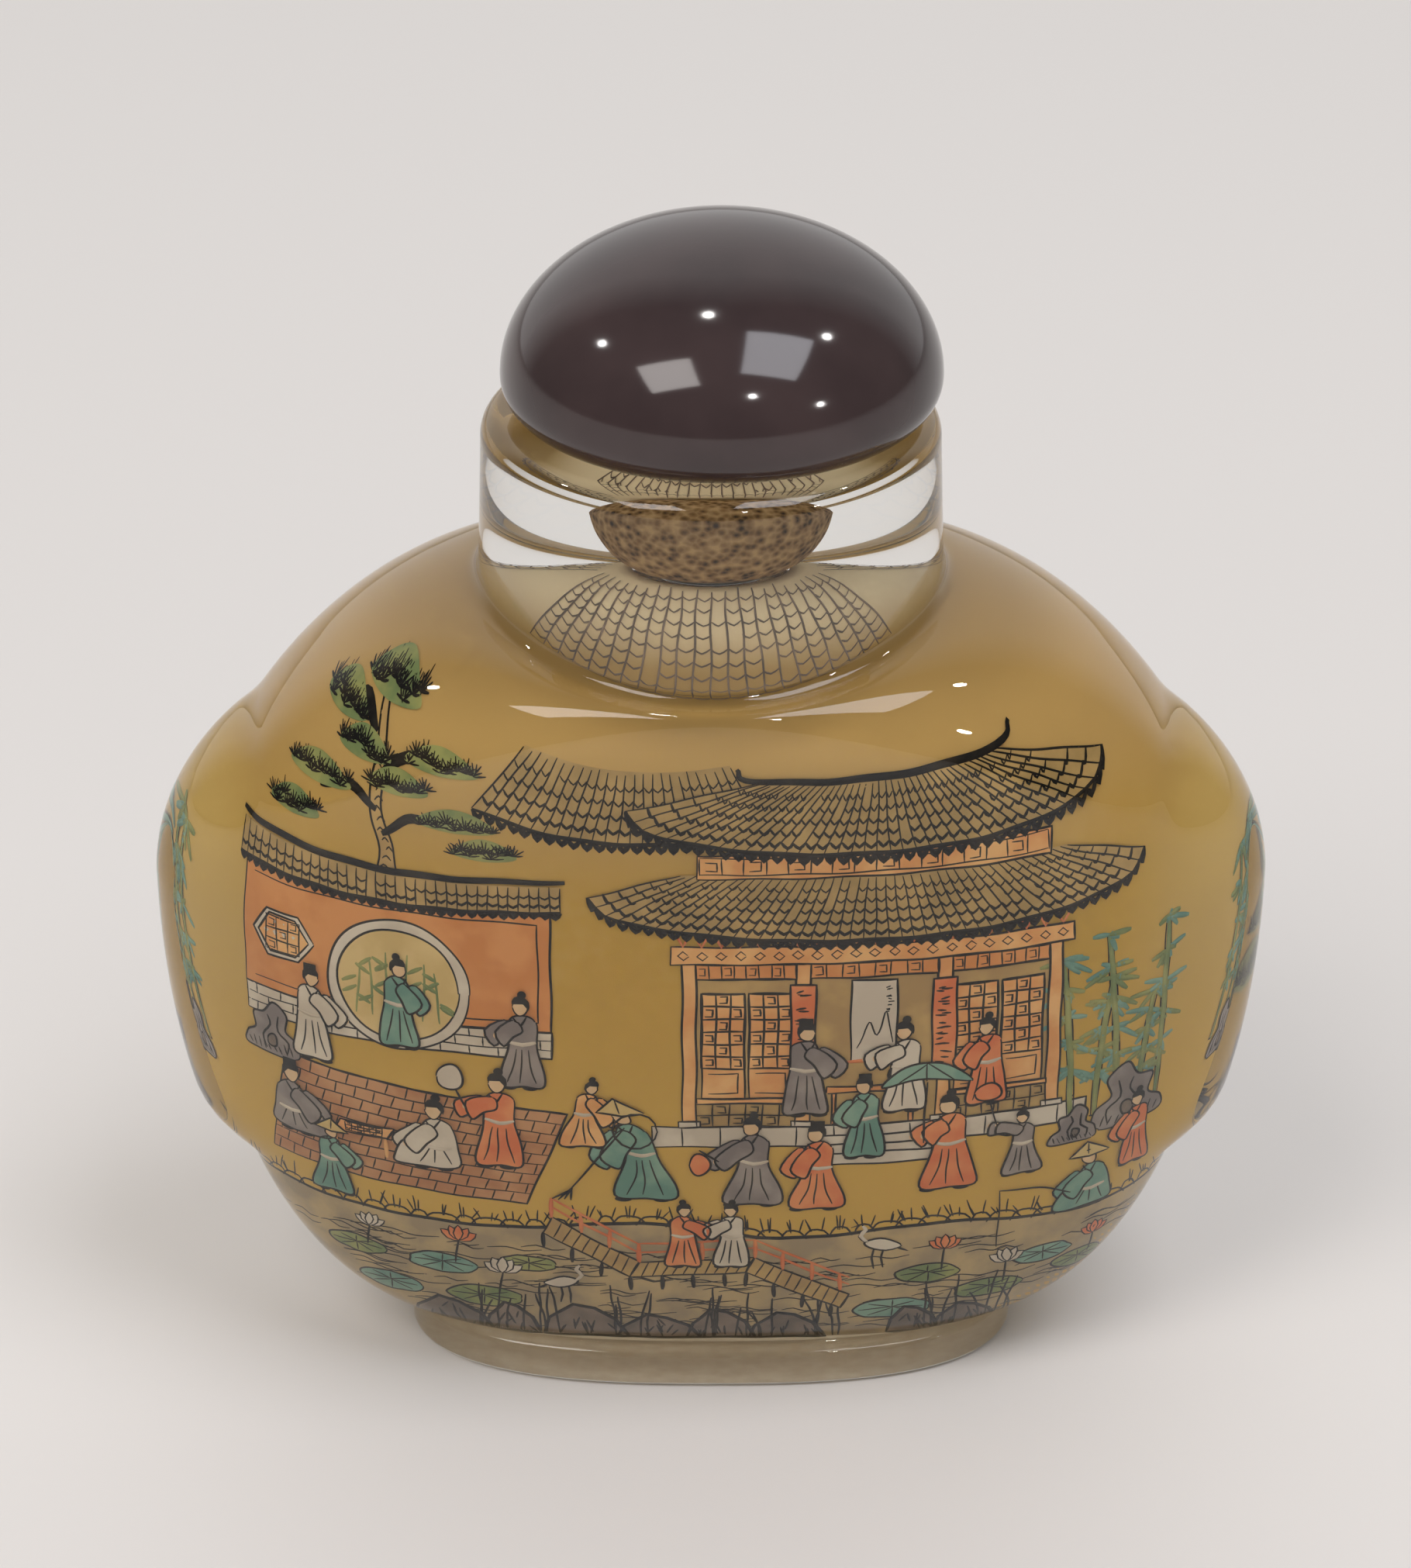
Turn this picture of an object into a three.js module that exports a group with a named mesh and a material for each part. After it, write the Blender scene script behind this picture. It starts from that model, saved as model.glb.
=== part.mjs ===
// A snuff bottle of clear glass: a flattened flask on an oval foot, with a soft lug down each side, a wide
// round neck with a narrow bore, and a polished domed stopper carried on a cork plug.
// X runs across the bottle, Y from its front to its back and Z up, from the table it stands on.
import * as THREE from 'three';

// Driving dimensions, in millimetres.
const FOOT = { halfWidth: 17.9, halfDepth: 9.4, height: 2.4, edge: 0.5, squareness: 2.6 };
const BODY = { halfWidth: 29.8, halfDepth: 15, widestZ: 30, shoulderZ: 48.5, squareness: 2.35 };
const WALL = { side: 1.8, face: 2.2, floorZ: 2.6 };
const NECK = { baseRadius: 13, topRadius: 12.75, fillet: 0.8, rimZ: 58.2, rimRound: 1.3 };
const BORE = { radius: 4.4, mouthRound: 0.5, straightZ: 54.4, endRadius: 2.2, bottomZ: 50.4 };
const THROAT = { radius: 9.2, z: 47.3 };
const LUG = { halfWidth: 8.4, height: 2.1, bottomZ: 13.1, topZ: 39.6, softness: 1.5 };
const LUG_TAPER = { bottom: 3.4, top: 7.5 };
const STOPPER = { radius: 12.2, edgeWidth: 2.4, edgeHeight: 2.2, domeHeight: 8.45, crownRadius: 0.4 };
// The stopper sits this far to the right of the bottle's axis.
const STOPPER_SHIFT = 0.6;

// The seam is the waist between the foot and the body.
const SEAM = { inset: 1.2, rise: 0.1 };
// The saddle is how far the shoulder dips at the front and the back.
const SADDLE = 2;
// The gaps between the stopper and the rim, and between the cork and the bore.
const SEAT_GAP = 0.1;
const CORK_GAP = 0.15;

// How full each stretch of the body is: 1 is a straight slope, 2 an ellipse, and more a squarer corner.
const LOWER_BULGE = { width: 2.1, depth: 1.6 };
const UPPER_BULGE = { width: 1.65, depth: 6 };
const CAVITY_FLOOR = { halfWidth: 13.8, halfDepth: 5.6 };
// How late the hollow's ceiling turns down on its way out from the bore: 1 is a cone, and more a dome.
const CEILING_BULGE = 1.5;

const SIDES = { bottle: 64, stopper: 44, cork: 20 };
// How much closer the bottle's points stand at the lugs than at the flat faces, from 0 for even to 0.5.
const LUG_CROWDING = 0.26;
const STEPS = { round: 3, lower: 11, upper: 11, cavity: 8, bore: 4, ceiling: 3, dome: 9 };
// The squareness of a circle, and how late a stretch of the body takes on its end's own section.
const ROUND = 2;
const BLEND_POWER = 6;

// Turns from nothing to a quarter, in even steps.
function quarterTurns(steps) {
  return Array.from({ length: steps + 1 }, (_, step) => (step / steps) * (Math.PI / 2));
}

// The width left on a superellipse that has risen by a share of its height.
function widthAt(rise, bulge) {
  return Math.max(0, 1 - rise ** bulge) ** (1 / bulge);
}

// A level section of a round piece.
function disc(z, radius, saddle = 0) {
  return { z, halfWidth: radius, halfDepth: radius, squareness: ROUND, saddle };
}

// A level section of the foot, drawn in from its full outline.
function footSection(z, inset) {
  return {
    z,
    halfWidth: FOOT.halfWidth - inset,
    halfDepth: FOOT.halfDepth - inset,
    squareness: FOOT.squareness,
    saddle: 0,
  };
}

// The sections from the widest level of the body or of its hollow to one end of it.
function bodyStretch(widest, end, bulge, steps, hasLug) {
  return quarterTurns(steps).map((turn) => {
    const rise = Math.sin(turn) ** (2 / bulge.width);
    const blend = rise ** BLEND_POWER;
    return {
      z: THREE.MathUtils.lerp(widest.z, end.z, rise),
      halfWidth: THREE.MathUtils.lerp(end.halfWidth, widest.halfWidth, widthAt(rise, bulge.width)),
      halfDepth: THREE.MathUtils.lerp(end.halfDepth, widest.halfDepth, widthAt(rise, bulge.depth)),
      squareness: THREE.MathUtils.lerp(BODY.squareness, end.squareness, blend),
      saddle: end.saddle * blend,
      hasLug,
    };
  });
}

// The rise of a rounded end, from nothing at its tip to one where the taper is over.
function roundedEnd(distance, taper) {
  const short = 1 - THREE.MathUtils.clamp(distance / taper, 0, 1);
  return Math.sqrt(1 - short * short);
}

// How far the lug stands out of the bottle's side, at a depth from the side's middle and at a height.
function lugRelief(y, z) {
  const along = roundedEnd(z - LUG.bottomZ, LUG_TAPER.bottom) * roundedEnd(LUG.topZ - z, LUG_TAPER.top);
  if (along === 0) {
    return 0;
  }
  const across = Math.min(1, Math.abs(y) / (LUG.halfWidth * Math.sqrt(along)));
  return LUG.height * along * (1 - across * across) ** LUG.softness;
}

// A point of a section, at a turn around the bottle's axis.
function sectionPoint(section, turn) {
  const power = 2 / section.squareness;
  const cos = Math.cos(turn);
  const sin = Math.sin(turn);
  const y = section.halfDepth * Math.sign(sin) * Math.abs(sin) ** power;
  const lug = section.hasLug ? lugRelief(y, section.z) : 0;
  const x = Math.sign(cos) * (section.halfWidth * Math.abs(cos) ** power + lug);
  return [x, y, section.z - SADDLE * section.saddle * sin * sin];
}

// A closed skin through a run of sections, with a point on the axis at each end.
function loft(sections, sides, crowding = 0) {
  const first = sections[0];
  const last = sections[sections.length - 1];
  const points = [[0, 0, first.z]];
  for (const section of sections) {
    for (let side = 0; side < sides; side += 1) {
      const even = (side / sides) * 2 * Math.PI;
      points.push(sectionPoint(section, even - crowding * Math.sin(2 * even)));
    }
  }
  points.push([0, 0, last.z]);

  const faces = [];
  const at = (ring, side) => 1 + ring * sides + (side % sides);
  const top = points.length - 1;
  for (let side = 0; side < sides; side += 1) {
    faces.push(0, at(0, side + 1), at(0, side));
    for (let ring = 0; ring + 1 < sections.length; ring += 1) {
      faces.push(at(ring, side), at(ring, side + 1), at(ring + 1, side + 1));
      faces.push(at(ring, side), at(ring + 1, side + 1), at(ring + 1, side));
    }
    faces.push(at(sections.length - 1, side), at(sections.length - 1, side + 1), top);
  }

  const geometry = new THREE.BufferGeometry();
  geometry.setAttribute('position', new THREE.Float32BufferAttribute(points.flat(), 3));
  geometry.setIndex(faces);
  geometry.computeVertexNormals();
  return geometry;
}

// The outside of the bottle, from the edge of its underside up to the rim.
function bottleOutside() {
  const quarter = quarterTurns(STEPS.round);
  const widest = { z: BODY.widestZ, halfWidth: BODY.halfWidth, halfDepth: BODY.halfDepth };
  const seam = footSection(FOOT.height + SEAM.rise, SEAM.inset);
  const shoulder = disc(BODY.shoulderZ, NECK.baseRadius + NECK.fillet, 1);
  const neckBottom = BODY.shoulderZ + NECK.fillet;
  const neckTop = NECK.rimZ - NECK.rimRound;
  return [
    ...quarter.map((turn) =>
      footSection(FOOT.edge * (1 - Math.cos(turn)), FOOT.edge * (1 - Math.sin(turn)))),
    ...quarter.map((turn) =>
      footSection(FOOT.height - FOOT.edge * (1 - Math.sin(turn)), FOOT.edge * (1 - Math.cos(turn)))),
    ...bodyStretch(widest, seam, LOWER_BULGE, STEPS.lower, true).reverse(),
    ...bodyStretch(widest, shoulder, UPPER_BULGE, STEPS.upper, true).slice(1),
    ...quarter.slice(1).map((turn) => {
      const radius = NECK.baseRadius + NECK.fillet * (1 - Math.sin(turn));
      return disc(neckBottom - NECK.fillet * Math.cos(turn), radius, 1);
    }),
    disc((neckBottom + neckTop) / 2, (NECK.baseRadius + NECK.topRadius) / 2, 1 / 4),
    ...quarter.map((turn) => {
      const radius = NECK.topRadius - NECK.rimRound * (1 - Math.cos(turn));
      return disc(neckTop + NECK.rimRound * Math.sin(turn), radius);
    }),
  ];
}

// A section of the bore's rounded end, from its straight part down to its bottom, drawn in by a gap.
function boreEnd(turn, gap = 0) {
  const depth = (BORE.straightZ - BORE.bottomZ - gap) * Math.sin(turn);
  const radius = THREE.MathUtils.lerp(BORE.endRadius, BORE.radius, Math.cos(turn));
  return disc(BORE.straightZ - depth, radius - gap);
}

// The inside of the bottle, from the bore's mouth down to the floor of the hollow.
function bottleInside() {
  const widest = {
    z: BODY.widestZ,
    halfWidth: BODY.halfWidth - WALL.side,
    halfDepth: BODY.halfDepth - WALL.face,
  };
  const throat = disc(THROAT.z, THROAT.radius, 1);
  const floor = { z: WALL.floorZ, ...CAVITY_FLOOR, squareness: FOOT.squareness, saddle: 0 };
  return [
    disc(NECK.rimZ, BORE.radius + BORE.mouthRound),
    disc(NECK.rimZ - BORE.mouthRound, BORE.radius),
    ...quarterTurns(STEPS.bore).slice(0, -1).map((turn) => boreEnd(turn)),
    ...Array.from({ length: STEPS.ceiling }, (_, step) => {
      const out = step / STEPS.ceiling;
      const down = out ** CEILING_BULGE;
      const z = THREE.MathUtils.lerp(BORE.bottomZ, THROAT.z, down);
      return disc(z, THREE.MathUtils.lerp(BORE.endRadius, THROAT.radius, out), down);
    }),
    ...bodyStretch(widest, throat, UPPER_BULGE, STEPS.cavity, false).reverse(),
    ...bodyStretch(widest, floor, LOWER_BULGE, STEPS.cavity, false).slice(1),
  ];
}

// The domed stopper, with a flat seat and a rounded lower edge.
function stopperSections() {
  const seatZ = NECK.rimZ + SEAT_GAP;
  const girdleZ = seatZ + STOPPER.edgeHeight;
  const lower = quarterTurns(STEPS.round).map((turn) => {
    const radius = STOPPER.radius - STOPPER.edgeWidth * (1 - Math.sin(turn));
    return disc(girdleZ - STOPPER.edgeHeight * Math.cos(turn), radius);
  });
  const dome = quarterTurns(STEPS.dome).slice(1, -1).map((turn) =>
    disc(girdleZ + STOPPER.domeHeight * Math.sin(turn), STOPPER.radius * Math.cos(turn)));
  return [...lower, ...dome, disc(girdleZ + STOPPER.domeHeight, STOPPER.crownRadius)];
}

// The cork, from its rounded tip up to the rim, just clear of the bore.
function corkSections() {
  const tip = quarterTurns(STEPS.bore).reverse().map((turn) => boreEnd(turn, CORK_GAP));
  return [...tip, disc(NECK.rimZ, BORE.radius - CORK_GAP)];
}

function piece(name, geometry, finish) {
  const mesh = new THREE.Mesh(geometry, new THREE.MeshStandardMaterial(finish));
  mesh.name = name;
  return mesh;
}

const stopper = piece('stopper', loft(stopperSections(), SIDES.stopper), {
  color: '#43373a',
  roughness: 0.12,
  metalness: 0,
});
stopper.position.x = STOPPER_SHIFT;

const snuffBottle = new THREE.Group();
snuffBottle.add(
  stopper,
  piece('bottle', loft([...bottleOutside(), ...bottleInside()], SIDES.bottle, LUG_CROWDING), {
    color: '#a98f62',
    roughness: 0.05,
    metalness: 0,
  }),
  piece('cork', loft(corkSections(), SIDES.cork), {
    color: '#7a5836',
    roughness: 0.9,
    metalness: 0,
  }),
);

export default snuffBottle;
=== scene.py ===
import math

import bpy
import mathutils
import numpy as np
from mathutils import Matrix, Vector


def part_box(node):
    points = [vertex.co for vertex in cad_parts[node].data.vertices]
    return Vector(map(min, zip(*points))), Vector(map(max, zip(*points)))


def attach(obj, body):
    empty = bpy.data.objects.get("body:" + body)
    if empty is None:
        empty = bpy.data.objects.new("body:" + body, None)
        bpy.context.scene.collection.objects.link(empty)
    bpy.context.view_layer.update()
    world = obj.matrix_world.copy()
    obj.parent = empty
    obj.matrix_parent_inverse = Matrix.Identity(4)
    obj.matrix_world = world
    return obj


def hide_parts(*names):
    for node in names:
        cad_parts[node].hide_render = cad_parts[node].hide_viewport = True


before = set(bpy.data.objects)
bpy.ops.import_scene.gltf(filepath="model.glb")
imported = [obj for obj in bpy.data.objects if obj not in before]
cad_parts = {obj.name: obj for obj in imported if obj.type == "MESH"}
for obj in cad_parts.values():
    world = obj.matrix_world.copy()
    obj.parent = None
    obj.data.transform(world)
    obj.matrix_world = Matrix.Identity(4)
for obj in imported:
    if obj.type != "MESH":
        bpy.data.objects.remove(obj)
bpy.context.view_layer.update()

# The glass bottle
# One solid of clear glass, ground hollow through a narrow bore: a flattened flask on an oval foot, with a
# plain lug standing out of each side, a dipped shoulder and a wide round neck.
BODY_HALF_WIDTH, BODY_HALF_DEPTH = 0.0298, 0.015
WIDEST_HEIGHT, SHOULDER_HEIGHT = 0.030, 0.0485
BODY_SQUARENESS, FOOT_SQUARENESS, ROUND = 2.35, 2.6, 2.0
FOOT_HALF_WIDTH, FOOT_HALF_DEPTH, FOOT_HEIGHT, FOOT_EDGE = 0.0179, 0.0094, 0.0024, 0.0005
SEAM_INSET, SEAM_RISE = 0.0012, 0.0001
NECK_BASE_RADIUS, NECK_TOP_RADIUS, NECK_FILLET, RIM_ROUND = 0.013, 0.01275, 0.0008, 0.0013
RIM_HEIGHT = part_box("bottle")[1][2]
SADDLE = 0.002
LUG_HALF_WIDTH, LUG_STANDS_OUT, LUG_BOTTOM, LUG_TOP = 0.0084, 0.0021, 0.0131, 0.0396
LUG_BOTTOM_TAPER, LUG_TOP_TAPER, LUG_SOFTNESS = 0.0034, 0.0075, 1.5
LOWER_BULGE, UPPER_BULGE = (2.1, 1.6), (1.65, 6.0)
SIDE_WALL, FACE_WALL, FLOOR_HEIGHT = 0.0018, 0.0022, 0.0026
FLOOR_HALF_WIDTH, FLOOR_HALF_DEPTH = 0.0138, 0.0056
BORE_RADIUS, BORE_MOUTH_ROUND, BORE_STRAIGHT_TO = 0.0044, 0.0005, 0.0544
BORE_END_RADIUS, BORE_BOTTOM = 0.0022, 0.0504
THROAT_RADIUS, THROAT_HEIGHT, CEILING_BULGE = 0.0092, 0.0473, 1.5
BOTTLE_SIDES, LUG_CROWDING, END_BLEND, UNDERSIDE_INSET = 320, 0.2, 6, 1.05 * FOOT_EDGE
OUTSIDE_STEPS, INSIDE_STEPS, CEILING_STEPS, NECK_STEPS = 44, 34, 12, 8
FOOT_STEPS, FILLET_STEPS, RIM_STEPS, MOUTH_STEPS, BORE_STEPS = 6, 8, 10, 5, 12
GLASS_TINT, GLASS_IOR, RIPPLE_STRENGTH, RIPPLE_HEIGHT = (0.965, 0.975, 0.96), 1.5, 0.02, 0.0002
GROUND_GREY, GROUND_PALE, GROUND_BELOW = (0.84, 0.70, 0.50), (0.94, 0.82, 0.62), 0.00004


def quarter_turns(steps):
    """Turns from nothing to a quarter, in even steps."""
    return np.linspace(0.0, math.pi / 2, steps + 1)


def section(z, half_width, half_depth, squareness, saddle=0.0, lug=0.0):
    """A level section of the bottle: its height, size and squareness, and its share of dip and lug."""
    return [z, half_width, half_depth, squareness, saddle, lug]


def disc(z, radius, saddle=0.0):
    return section(z, radius, radius, ROUND, saddle)


def foot_section(z, inset):
    return section(z, FOOT_HALF_WIDTH - inset, FOOT_HALF_DEPTH - inset, FOOT_SQUARENESS)


def body_stretch(widest, end, bulge, steps, lug):
    """Sections from the widest level of the body, or of its hollow, to one end of it."""
    wide_bulge, deep_bulge = bulge
    made = []
    for turn in quarter_turns(steps):
        rise = math.sin(turn) ** (2 / wide_bulge)
        width = max(0.0, 1 - rise ** wide_bulge) ** (1 / wide_bulge)
        depth = max(0.0, 1 - rise ** deep_bulge) ** (1 / deep_bulge)
        blend = rise ** END_BLEND
        made.append(section(
            widest[0] + (end[0] - widest[0]) * rise,
            end[1] + (widest[1] - end[1]) * width,
            end[2] + (widest[2] - end[2]) * depth,
            widest[3] + (end[3] - widest[3]) * blend,
            end[4] * blend,
            lug,
        ))
    return made


def rounded_end(distance, taper):
    """The rise of a rounded end, from nothing at its tip to one where the taper is over."""
    short = 1 - np.clip(distance / taper, 0.0, 1.0)
    return np.sqrt(1 - short * short)


def lug_relief(y, z):
    """How far the lug stands out of the side, at a depth from the side's middle and at a height."""
    along = rounded_end(z - LUG_BOTTOM, LUG_BOTTOM_TAPER) * rounded_end(LUG_TOP - z, LUG_TOP_TAPER)
    across = np.clip(np.abs(y) / np.maximum(LUG_HALF_WIDTH * np.sqrt(along), 1e-6), 0.0, 1.0)
    return LUG_STANDS_OUT * along * (1 - across ** 2) ** LUG_SOFTNESS


def ring_points(sections, turns):
    """The points of each section at each turn around the bottle's axis."""
    z, half_width, half_depth, squareness, saddle, lug = np.array(sections).T[:, :, None]
    cos, sin = np.cos(turns)[None, :], np.sin(turns)[None, :]
    power = 2 / squareness
    y = half_depth * np.sign(sin) * np.abs(sin) ** power
    x = np.sign(cos) * (half_width * np.abs(cos) ** power + lug * lug_relief(y, z))
    return np.stack([x, y, z - SADDLE * saddle * sin * sin], axis=-1)


def closed_skin(name, rings):
    """A mesh object through closed rings of points, with a point in the middle of each end."""
    count, sides = rings.shape[:2]
    ends = rings[[0, -1]].mean(axis=1)
    points = np.vstack([ends[:1], rings.reshape(-1, 3), ends[1:]])
    at = 1 + np.arange(count)[:, None] * sides + np.arange(sides)[None, :]
    after = np.roll(at, -1, axis=1)
    quads = np.stack([at[:-1], after[:-1], after[1:], at[1:]], axis=-1).reshape(-1, 4)
    first = np.stack([np.zeros(sides, int), after[0], at[0]], axis=-1)
    last = np.stack([at[-1], after[-1], np.full(sides, len(points) - 1)], axis=-1)
    mesh = bpy.data.meshes.new(name)
    mesh.from_pydata(points.tolist(), [], first.tolist() + quads.tolist() + last.tolist())
    mesh.shade_smooth()
    made = bpy.data.objects.new(name, mesh)
    bpy.context.scene.collection.objects.link(made)
    return made


def bottle_outside(steps):
    """Sections from the edge of the underside up to the rim."""
    widest = section(WIDEST_HEIGHT, BODY_HALF_WIDTH, BODY_HALF_DEPTH, BODY_SQUARENESS)
    seam = foot_section(FOOT_HEIGHT + SEAM_RISE, SEAM_INSET)
    shoulder = disc(SHOULDER_HEIGHT, NECK_BASE_RADIUS + NECK_FILLET, 1.0)
    neck_bottom, neck_top = SHOULDER_HEIGHT + NECK_FILLET, RIM_HEIGHT - RIM_ROUND
    made = [foot_section(0.0, UNDERSIDE_INSET)]
    for turn in quarter_turns(FOOT_STEPS):
        made.append(foot_section(FOOT_EDGE * (1 - math.cos(turn)), FOOT_EDGE * (1 - math.sin(turn))))
    for turn in quarter_turns(FOOT_STEPS):
        drop = FOOT_EDGE * (1 - math.sin(turn))
        made.append(foot_section(FOOT_HEIGHT - drop, FOOT_EDGE * (1 - math.cos(turn))))
    made += body_stretch(widest, seam, LOWER_BULGE, steps, 1.0)[::-1]
    made += body_stretch(widest, shoulder, UPPER_BULGE, steps, 1.0)[1:]
    for turn in quarter_turns(FILLET_STEPS)[1:]:
        radius = NECK_BASE_RADIUS + NECK_FILLET * (1 - math.sin(turn))
        made.append(disc(neck_bottom - NECK_FILLET * math.cos(turn), radius, 1.0))
    for up in np.linspace(0.0, 1.0, NECK_STEPS + 1)[1:-1]:
        radius = NECK_BASE_RADIUS + (NECK_TOP_RADIUS - NECK_BASE_RADIUS) * up
        made.append(disc(neck_bottom + (neck_top - neck_bottom) * up, radius, (1 - up) ** 2))
    for turn in quarter_turns(RIM_STEPS):
        radius = NECK_TOP_RADIUS - RIM_ROUND * (1 - math.cos(turn))
        made.append(disc(neck_top + RIM_ROUND * math.sin(turn), radius))
    return made


def bore_sections():
    """Sections from the bore's rounded mouth down its bowl, to just above its narrow end."""
    made = []
    for turn in quarter_turns(MOUTH_STEPS):
        radius = BORE_RADIUS + BORE_MOUTH_ROUND * (1 - math.sin(turn))
        made.append(disc(RIM_HEIGHT - BORE_MOUTH_ROUND * (1 - math.cos(turn)), radius))
    for turn in quarter_turns(BORE_STEPS)[:-1]:
        radius = BORE_END_RADIUS + (BORE_RADIUS - BORE_END_RADIUS) * math.cos(turn)
        made.append(disc(BORE_STRAIGHT_TO - (BORE_STRAIGHT_TO - BORE_BOTTOM) * math.sin(turn), radius))
    return made


def bottle_inside(steps):
    """Sections from the bore's narrow end, over the ceiling, down to the floor of the hollow."""
    half_width, half_depth = BODY_HALF_WIDTH - SIDE_WALL, BODY_HALF_DEPTH - FACE_WALL
    widest = section(WIDEST_HEIGHT, half_width, half_depth, BODY_SQUARENESS)
    throat = disc(THROAT_HEIGHT, THROAT_RADIUS, 1.0)
    floor = section(FLOOR_HEIGHT, FLOOR_HALF_WIDTH, FLOOR_HALF_DEPTH, FOOT_SQUARENESS)
    made = []
    for out in np.linspace(0.0, 1.0, CEILING_STEPS + 1)[:-1]:
        down = out ** CEILING_BULGE
        z = BORE_BOTTOM + (THROAT_HEIGHT - BORE_BOTTOM) * down
        made.append(disc(z, BORE_END_RADIUS + (THROAT_RADIUS - BORE_END_RADIUS) * out, down))
    made += body_stretch(widest, throat, UPPER_BULGE, steps, 0.0)[::-1]
    made += body_stretch(widest, floor, LOWER_BULGE, steps, 0.0)[1:]
    return made


class Wire:
    """An output of a node. Arithmetic on wires and numbers adds Math nodes to their tree."""

    def __init__(self, tree, socket):
        self.tree = tree
        self.socket = socket

    def math(self, operation, first, second):
        return add_node(self.tree, "ShaderNodeMath", {"operation": operation}, {0: first, 1: second})

    def __add__(self, other):
        return self.math("ADD", self, other)

    def __radd__(self, other):
        return self.math("ADD", other, self)

    def __sub__(self, other):
        return self.math("SUBTRACT", self, other)

    def __rsub__(self, other):
        return self.math("SUBTRACT", other, self)

    def __mul__(self, other):
        return self.math("MULTIPLY", self, other)

    def __rmul__(self, other):
        return self.math("MULTIPLY", other, self)


def add_node(tree, kind, settings, inputs, output=0):
    """Adds a node, sets it up, feeds its inputs by name or place, and gives the wire of one output."""
    made = tree.nodes.new(kind)
    for name, value in settings.items():
        if name == "stops":
            elements = made.color_ramp.elements
            while len(elements) < len(value):
                elements.new(1.0)
            for stop, (place, colour) in zip(elements, value):
                stop.position = place
                stop.color = (*colour, 1.0)
        else:
            setattr(made, name, value)
    for name, value in inputs.items():
        for given in value if isinstance(value, list) else [value]:
            if isinstance(given, Wire):
                tree.links.new(given.socket, made.inputs[name])
            else:
                made.inputs[name].default_value = given
    return Wire(tree, made.outputs[output] if made.outputs else None)


def new_finish(name):
    """A material with an empty node tree, and that tree."""
    made = bpy.data.materials.new(name)
    made.use_nodes = True
    made.node_tree.nodes.clear()
    return made, made.node_tree


def noise(tree, place, scale, detail):
    given = {"Vector": place, "Scale": scale, "Detail": detail}
    return add_node(tree, "ShaderNodeTexNoise", {}, given, "Fac")


def ramp(tree, value, stops):
    """A colour that a value picks from a ramp of stops."""
    return add_node(tree, "ShaderNodeValToRGB", {"stops": stops}, {"Fac": value}, "Color")


def principled(tree, inputs):
    return add_node(tree, "ShaderNodeBsdfPrincipled", {}, inputs)


def show(tree, shader):
    add_node(tree, "ShaderNodeOutputMaterial", {}, {"Surface": shader})


clear_glass, tree = new_finish("clear_glass")
place = add_node(tree, "ShaderNodeTexCoord", {}, {}, "Object")
skin = add_node(tree, "ShaderNodeBump", {}, {
    "Height": noise(tree, place, 120.0, 0.0), "Strength": RIPPLE_STRENGTH, "Distance": RIPPLE_HEIGHT})
glass_shader = principled(tree, {
    "Base Color": (*GLASS_TINT, 1.0),
    "Roughness": 0.0,
    "IOR": GLASS_IOR,
    "Transmission Weight": 1.0,
    "Normal": skin,
})
height = add_node(tree, "ShaderNodeSeparateXYZ", {}, {0: place}, "Z")
ground_colour = ramp(tree, noise(tree, place, 900.0, 3.0), [(0.3, GROUND_GREY), (0.7, GROUND_PALE)])
ground_shader = principled(tree, {"Base Color": ground_colour, "Roughness": 0.8})
underneath = add_node(tree, "ShaderNodeMath", {"operation": "LESS_THAN"}, {0: height, 1: GROUND_BELOW})
show(tree, add_node(tree, "ShaderNodeMixShader", {}, {0: underneath, 1: glass_shader, 2: ground_shader}))

turns = np.linspace(0.0, 2 * math.pi, BOTTLE_SIDES, endpoint=False)
turns = turns - LUG_CROWDING * np.sin(2 * turns)
glass_sections = bottle_outside(OUTSIDE_STEPS) + bore_sections() + bottle_inside(INSIDE_STEPS)
glass_bottle = closed_skin("glass_bottle", ring_points(glass_sections, turns))
glass_bottle.data.materials.append(clear_glass)
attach(glass_bottle, "root")
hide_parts("bottle")

# The painted picture
# Ink lines and thin washes of a walled garden with people in it, brushed on the hollow's wall from the inside
# with a bent brush. It is drawn here on the flat, in millimetres across from a face's middle and up along the
# wall, and then laid on the wall, just inside the glass.
FLAT_SIDE, FRONT_MIDDLE, BACK_MIDDLE, WIDEST_UP = 400.0, 100.0, 300.0, 27.0
WALL_ROWS, WALL_COLUMNS, WALL_REACH = 70, 200, 0.64 * math.pi
STROKE_STEP, WASH_STEP, CURVE_STEP, CURVE_STEPS = 0.4, 0.6, 0.45, (2, 6)
LINE, FINE_LINE, BOLD_LINE = 0.14, 0.10, 0.26
RIDGE_LINE = 1.6 * BOLD_LINE
BRUSH_TIP, BRUSH_FLATNESS = 0.5, 0.08
WAVER, WAVER_LENGTH = 0.035, 5.0
LAYER_STEP, LAYER_THICKNESS, FIRST_LAYER_DEPTH = 0.005, 0.000003, 0.00003
picks = np.random.default_rng(11)


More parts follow.
